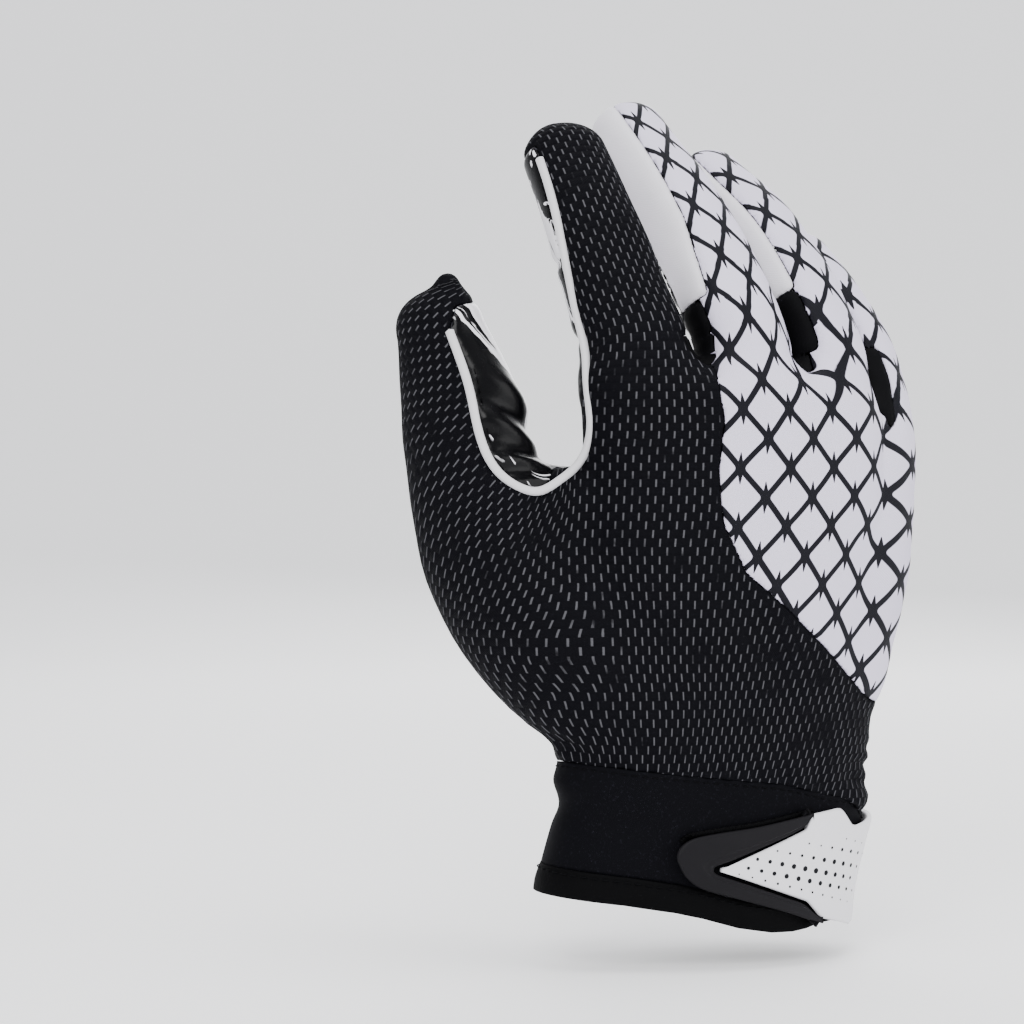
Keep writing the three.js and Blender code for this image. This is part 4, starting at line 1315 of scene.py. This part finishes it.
def hem_waves(distance, over_hem):
    """The wavy lower edge and the rolled form of the binding."""
    turn = 2 * np.pi * distance / band_length[-1]
    roll = 0.35 * np.sin(np.pi * np.clip(over_hem / HEM_HEIGHT, 0, 1))
    return roll + 0.3 * np.sin(2 * turn + 0.6) * (1 - over_hem / HEM_HEIGHT) + 0.12 * np.sin(9 * turn)


hem = band_piece("hem_binding", 0.0, HEM_HEIGHT + 0.22, 0.3, hem_material, 12, waves=hem_waves)
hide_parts("cuff_hem")


palm_rows = np.array(STRAP_PALM, float)
palm_at = distance_where(False, -palm_rows[:, 0])


def strap_edge(front_rows, column):
    """One edge of the strap along the band: its rows on the palm side, then its rows on the back."""
    front = picture_to_band(front_rows, STRAP_GROW)
    rows = np.vstack([np.column_stack([palm_at, palm_rows[:, column]]), front])
    rows = rows[np.argsort(rows[:, 0])]
    return lambda distance: np.interp(distance, rows[:, 0], rows[:, 1])


strap_low, strap_high = strap_edge(STRAP_LOW, 1), strap_edge(STRAP_TOP, 2)
strap_start = palm_at.min()
strap_end = picture_to_band(STRAP_TOP[:1], STRAP_GROW)[0, 0]


def flat_sheet(name, low_edge, high_edge, start, end, grow, material, spacing=0.6, levels=40, crown=None):
    """A sheet on the wrist band between two edges given as heights over the hem along the band."""
    distance = np.linspace(start, end, max(int((end - start) / spacing), 4))
    low, high = low_edge(distance), high_edge(distance)
    t = np.linspace(0, 1, levels)[:, None]
    v = low[None] + t * (high - low)[None]
    d = np.repeat(distance[None], levels, 0)
    rise = 0.0 if crown is None else crown(d, v, low[None], high[None])
    points = sleeve_point(angle_at(d).ravel(), v.ravel(), (grow + rise + 0 * d).ravel())
    faces = facing_out(points, grid_faces(levels, len(distance)))
    return mesh_piece(name, points, faces, material, np.stack([d.ravel(), v.ravel()], 1))


def rounded_edge(d, v, low, high):
    """The strap's rounded rim: it falls by up to half a millimetre within a millimetre of its edges."""
    near = np.minimum(v - low, high - v)
    ends = np.minimum(d - strap_start, strap_end - d)
    near = np.clip(np.minimum(near, ends), 0, 1.0)
    return -0.45 * (1 - np.sqrt(1 - (1 - near) ** 2)) * np.clip((high - low - 1.5) / 3, 0, 1)


strap = flat_sheet("wrist_strap", strap_low, strap_high, strap_start, strap_end, STRAP_GROW, strap_material,
                   spacing=0.45, levels=48, crown=rounded_edge)
thicken(strap, 1.75)
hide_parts("strap")

# The V-shaped base round the wedge of the strap: one sheet from the end of one arm to the end of the other.
base_outer = smooth_rows(picture_to_band(BASE_OUTER, 3.0), 8)
base_inner = smooth_rows(picture_to_band(BASE_INNER, 3.0), 8)
part = np.linspace(0, 1, 25)[:, None, None]
base_plan = base_outer[None] * (1 - part) + base_inner[None] * part
part = part[:, :, 0]
base_rim = 0.5 * np.clip(1 - np.minimum(part, 1 - part) / 0.10, 0, 1) ** 2
base_step = 0.45 * ramp(0.70, 0.78, part)
base_grow = 3.05 - base_rim - base_step + 0 * base_plan[:, :, 0]
base_shape = on_band(base_plan.reshape(-1, 2), base_grow.ravel())
base_faces = facing_out(base_shape, grid_faces(25, len(base_outer)))
strap_base = mesh_piece("strap_base_rubber", base_shape, base_faces, base_material, base_plan.reshape(-1, 2))
thicken(strap_base, 2.3)
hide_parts("strap_base")


def discs(centres, radii, grow, sides=14):
    """Many small round marks on the wrist band, as one mesh: a ring and a centre point each."""
    turn = 2 * np.pi * np.arange(sides) / sides
    ring = np.stack([np.cos(turn), np.sin(turn)], 1)
    plan = centres[:, None] + radii[:, None, None] * np.vstack([ring, (0, 0)])[None]
    points = on_band(plan.reshape(-1, 2), grow)
    k = np.arange(sides)
    one = np.stack([k, (k + 1) % sides, np.full(sides, sides)], 1)
    faces = (np.arange(len(centres))[:, None, None] * (sides + 1) + one[None]).reshape(-1, 3)
    return points, facing_out(points, faces)


def dot_lattice(first, step, rise, rows, columns, fall, sizes, envelope):
    """Staggered rows of recesses: each starts a little farther along, and sizes follow row and place."""
    row, column = np.meshgrid(np.arange(rows), np.arange(-6, columns), indexing="ij")
    along = column * step + row * rise[0]
    d = first[0] - along
    v = first[1] + row * rise[1] - fall * column * step
    size = np.array(sizes)[row] * np.interp(along, envelope[0], envelope[1])
    centres = np.column_stack([d.ravel(), v.ravel()])
    size = size.ravel()
    kept = (size > 0.1) & (v.ravel() < strap_high(d.ravel()) - 0.9) & (v.ravel() > strap_low(d.ravel()) + 0.8)
    return centres[kept], size[kept]


def dot_row(first, last, radii):
    """One row of recesses in even steps between two places in the picture, with the radius of each."""
    ends = picture_to_band([first, last], STRAP_GROW)
    part = np.linspace(0, 1, len(radii))[:, None]
    return ends[:1] * (1 - part) + ends[1:] * part, np.array(radii)


DOT_ROWS = [
    ((9.8, 7.7), (36.7, 0.9), (0.18, 0.22, 0.28, 0.32, 0.3, 0.3, 0.3, 0.28, 0.26, 0.22, 0.18)),
    ((12.1, 9.2), (37.9, 3.7), (0.42, 0.48, 0.55, 0.62, 0.62, 0.62, 0.6, 0.56, 0.5, 0.45, 0.3)),
    ((14.4, 11.4), (37.5, 6.8), (0.42, 0.5, 0.58, 0.64, 0.68, 0.7, 0.66, 0.6, 0.54, 0.46)),
    ((19.4, 13.5), (39.1, 9.7), (0.24, 0.32, 0.38, 0.46, 0.56, 0.62, 0.6, 0.52, 0.38)),
    ((27.3, 15.4), (40.5, 12.8), (0.24, 0.22, 0.34, 0.44, 0.46, 0.4, 0.24)),
    ((36.6, 16.5), (40.4, 15.5), (0.2, 0.22, 0.2)),
]
back_rows = [dot_row(*row) for row in DOT_ROWS]
back_dots = (np.vstack([row[0] for row in back_rows]), np.concatenate([row[1] for row in back_rows]))
palm_first = (distance_where(False, -8.0) + 38, 2.7)
palm_dots = dot_lattice(palm_first, 3.1, (1.55, 2.7), 6, 16, 0.0, (0.45, 0.75, 0.85, 0.8, 0.65, 0.35),
                        ((-4, 2, 14, 26, 36, 41), (0, 0.3, 0.8, 1.0, 0.7, 0)))
centres, radii = np.vstack([back_dots[0], palm_dots[0]]), np.concatenate([back_dots[1], palm_dots[1]])
# Each recess is a dark disc of painted shade just over the strap's surface.
dot_points, dot_faces = discs(centres, radii, 2.54)
dots = mesh_piece("strap_dots", dot_points, dot_faces, recess_shade_material)


def ribbon(path, width, grow):
    """A thin line on the wrist band: a strip of even width along a path of distance and height."""
    along = unit(np.gradient(path, axis=0))
    across = np.stack([-along[:, 1], along[:, 0]], 1)
    sides = np.linspace(-0.5, 0.5, 3)[:, None, None] * width * across[None] + path[None]
    points = on_band(sides.reshape(-1, 2), grow)
    return points, facing_out(points, grid_faces(3, len(path)))


groove_plan = np.array([(-28, 27.2), (-14, 22.9), (0, 18.5), (6.2, 16.6), (7.8, 14.9), (8.0, 11), (7.8, 7.6),
                        (6.2, 6.1), (0, 5.6), (-14, 4.5), (-28, 4.0)], float)
groove = smooth_rows(groove_plan, 10)
groove = np.column_stack([distance_where(False, -groove[:, 0]), groove[:, 1]])
# The groove is a dark strip of painted shade just over the strap's surface.
groove_points, groove_faces = ribbon(groove, 0.75, 2.545)
groove_piece = mesh_piece("strap_groove", groove_points, groove_faces, recess_shade_material)

# The fringe of the fastening cloth over the base's upper edge.
fringe_line = smooth_rows(picture_to_band([(-4.4, 15.7), (-1.8, 17.3), (6, 18.6), (14.4, 19.9), (24, 22.1),
                                           (29, 23.3)], 2.2), 40)
fringe_steps = np.arange(len(fringe_line))
fringe_line[:, 1] += 0.16 * np.sin(fringe_steps * 1.7) + 0.1 * np.sin(fringe_steps * 0.63)
fringe_points, fringe_faces = ribbon(fringe_line, 1.0, 1.6)
fringe = mesh_piece("strap_fringe", fringe_points, fringe_faces, hem_material)
thicken(fringe, 1.2)


def tab_middle(over):
    """Minus x of the tape's middle at a height over the hem."""
    return 22.3 - (TAB_TOP - over) * 0.125


def tab_sheet():
    """The tape hangs down the band, runs out over the hem, turns under in a loop and comes back."""
    down = np.array([
        (30.6, 1.9), (29.4, 1.95), (24, 1.9), (16, 1.95), (9, 2.0), (6.2, 2.1), (4.2, 2.9), (2.0, 3.6),
        (0.4, 3.7), (-0.5, 3.1), (-0.6, 2.4), (0.0, 1.9), (1.6, 1.55), (3.6, 1.3), (5.6, 1.1),
    ], float)
    line = smooth_rows(down, 6)
    middle = tab_middle(line[:, 0])
    half = 7.2 - np.clip(TAB_TOP - line[:, 0], 0, 25) * 0.028
    side = np.linspace(-1, 1, 25)[:, None]
    minus_x = middle[None] + side * half[None]
    distance = distance_where(False, -minus_x.ravel())
    over = np.repeat(line[None, :, 0], 25, 0).ravel()
    grow = np.repeat(line[None, :, 1], 25, 0).ravel()
    points = sleeve_point(angle_at(distance), over, grow)
    travel = lengths_along(line)
    uv = np.stack([(side * half[None]).ravel(), np.repeat(travel[None], 25, 0).ravel()], 1)
    faces = grid_faces(25, len(line))
    corner = points[faces[0]]
    facing = np.cross(corner[1] - corner[0], corner[2] - corner[0])[1]
    return points, faces if facing > 0 else faces[:, ::-1], uv, float(travel[-1])


tab_points, tab_faces, tab_uv, tab_length = tab_sheet()
pull_tab = mesh_piece("pull_tab_tape", tab_points, tab_faces, webbing_material, tab_uv)
thicken(pull_tab, 0.7)
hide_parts("pull_tab")


def stitches(path, length, pitch, radius):
    """Stitches along a path as one mesh: each is a long eight-sided double cone that lies on the path."""
    steps = lengths_along(path)
    middle = np.arange(pitch / 2, steps[-1], pitch)
    at = lambda where: np.stack([np.interp(where, steps, path[:, i]) for i in range(3)], 1)
    start, end = at(middle - length / 2), at(middle + length / 2)
    along = unit(end - start)
    side = unit(np.cross(along, (0.31, 0.9, 0.2)))
    ring = radius * circles(side, np.cross(side, along), 8)
    low = start + along * length * 0.16
    high = end - along * length * 0.16
    points = np.concatenate([low[:, None] + ring, high[:, None] + ring, start[:, None], end[:, None]], 1)
    k = np.arange(8)
    n = (k + 1) % 8
    one = np.vstack([
        np.stack([k, n, n + 8], 1), np.stack([k, n + 8, k + 8], 1),
        np.stack([n, k, np.full(8, 16)], 1), np.stack([k + 8, n + 8, np.full(8, 17)], 1),
    ])
    faces = (np.arange(len(middle))[:, None, None] * 18 + one[None]).reshape(-1, 3)
    points = points.reshape(-1, 3)
    a, b, c = (points[one[:, i]] for i in range(3))
    centre = points[:18].mean(0)
    if np.einsum("ij,ij->i", (a + b + c) / 3 - centre, np.cross(b - a, c - a)).sum() < 0:
        faces = faces[:, ::-1]
    return points, faces


def joined(meshes):
    """Several meshes as one."""
    points, faces, count = [], [], 0
    for p, f in meshes:
        points.append(p)
        faces.append(np.asarray(f) + count)
        count += len(p)
    return np.vstack(points), np.vstack(faces)


# Stitches along the seams of the fingers and the thumb: finger, first and last distance, seam, how far
# beside it.
STITCH_LINES = [
    ("index", 52, 90, 2, 1.3), ("middle", 54, 96, 1, -1.3), ("middle", 54, 96, 2, 1.3),
    ("ring", 54, 92, 1, -1.3), ("ring", 54, 92, 2, 1.3), ("pinky", 70, 116, 1, -1.3),
    ("pinky", 70, 116, 2, 1.3), ("thumb", 40, 112, 1, -1.3), ("index", 24, 88, 1, -2.6),
    ("thumb", 74, 108, 2, 2.6),
]
seam_stitches = []
for name, first, last, seam, beside in STITCH_LINES:
    distance = np.arange(first, last, 1.5)
    size = np.interp(distance, LINES[name]["distance"], LINES[name]["a"])
    degrees = table_value(SEAMS[name], seam, distance) + np.degrees(beside / size)
    path = onto_surface(round_finger(name, distance, degrees), hand_value, 3, 2.0)
    seam_stitches.append(stitches(path, 1.7, 2.5, 0.17))
points, faces = joined(seam_stitches)
finger_stitches = mesh_piece("finger_stitches", points, faces, thread_material)

# Stitches of the hem, of the band's top edge and of the pull tab.
round_band = np.linspace(0, band_length[-1], 900)
hem_height = HEM_HEIGHT - 0.9 - hem_drop(round_band)
hem_line = sleeve_point(angle_at(round_band), hem_height, 0.62 + hem_waves(round_band, HEM_HEIGHT - 0.9))
top_height = CUFF_HEIGHT - 1.2 + band_edge(*band_place(angle_at(round_band)))
top_line = sleeve_point(angle_at(round_band), top_height, 0.1 + band_waves(round_band, top_height))
points, faces = joined([stitches(hem_line, 1.9, 2.7, 0.2), stitches(top_line, 1.7, 2.6, 0.16)])
band_stitches = mesh_piece("band_stitches", points, faces, thread_material)
tab_rows = []
for over, grow in ((29.4, 1.98), (6.9, 2.12)):
    middle = tab_middle(over)
    minus_x = np.linspace(middle - 6.3, middle + 6.3, 60)
    line = sleeve_point(angle_at(distance_where(False, -minus_x)), np.full(60, over), grow)
    tab_rows.append(stitches(line, 1.2, 1.7, 0.16))
points, faces = joined(tab_rows)
tab_stitches = mesh_piece("tab_stitches", points, faces, grey_thread_material)

# The flat size of every sheet of cloth, read here and not used further. A panel's area is that of its
# modelled surface, not of a cut pattern, and the inserts' width is set from that area.
for node, piece in panel_pieces.items():
    width, length, area = sizes[node]


# The floor, the soft light and the camera.
def backdrop():
    """A pale floor that rises smoothly behind the glove: flat, then a quarter circle, then a wall."""
    across = np.linspace(-2.5, 2.5, 9)
    turn = np.linspace(0, np.pi / 2, 17)
    depth = np.concatenate([[-2.5, 0.0, 0.9], 0.9 + 0.7 * np.sin(turn[1:]), [1.6]])
    rise = np.concatenate([[0, 0, 0], 0.7 * (1 - np.cos(turn[1:])), [2.6]]) - 0.014
    x, y = np.meshgrid(across, depth)
    z = np.repeat(rise[:, None], len(across), 1)
    turned = np.radians(CAMERA_TURN)
    cosine, sine = np.cos(turned), np.sin(turned)
    points = np.stack([x * cosine - y * sine, x * sine + y * cosine, z], -1)
    mesh = bpy.data.meshes.new("floor")
    mesh.from_pydata(points.reshape(-1, 3).tolist(), [], grid_faces(len(depth), len(across)).tolist())
    mesh.polygons.foreach_set("use_smooth", np.ones(len(mesh.polygons), bool))
    finish = Finish("pale floor", (0.90, 0.90, 0.91), 0.9)
    finish.set("Emission Color", (1, 1, 1, 1))
    finish.set("Emission Strength", 0.34)
    mesh.materials.append(finish.material)
    floor = bpy.data.objects.new("floor", mesh)
    bpy.context.scene.collection.objects.link(floor)


def soft_light(name, place, aim, power, size):
    """A square area light in metres, turned toward a point."""
    data = bpy.data.lights.new(name, "AREA")
    data.energy = power
    data.size = size
    light = bpy.data.objects.new(name, data)
    light.location = place
    light.rotation_mode = "QUATERNION"
    light.rotation_quaternion = (Vector(aim) - Vector(place)).to_track_quat("-Z", "Y")
    bpy.context.scene.collection.objects.link(light)


backdrop()
soft_light("key light", (-0.55, -0.85, 0.75), (0, 0, 0.1), 11.0, 0.6)
soft_light("fill light", (0.8, -0.7, 0.35), (0, 0, 0.1), 5.0, 0.7)
soft_light("top light", (0.05, -0.05, 1.0), (0, 0, 0.1), 6.0, 0.6)
soft_light("back light", (0.4, 0.8, 0.5), (0, 0, 0.1), 5.0, 0.7)
world = bpy.data.worlds.new("pale studio")
world.use_nodes = True
world.node_tree.nodes["Background"].inputs["Color"].default_value = (0.95, 0.96, 1.0, 1)
world.node_tree.nodes["Background"].inputs["Strength"].default_value = 0.82
bpy.context.scene.world = world

# The camera looks square at the middle of the picture.
right, back = Vector(CAMERA_RIGHT), Vector(CAMERA_BACK)
target = right * PICTURE_MIDDLE[0] * MM + Vector((0, 0, PICTURE_MIDDLE[1] * MM))
camera_data = bpy.data.cameras.new("camera")
camera_data.lens = LENS
camera_data.sensor_width = SENSOR
camera = bpy.data.objects.new("camera", camera_data)
camera.location = target + back * CAMERA_DISTANCE * MM
camera.rotation_mode = "QUATERNION"
camera.rotation_quaternion = (-back).to_track_quat("-Z", "Y")
bpy.context.scene.collection.objects.link(camera)
bpy.context.scene.camera = camera
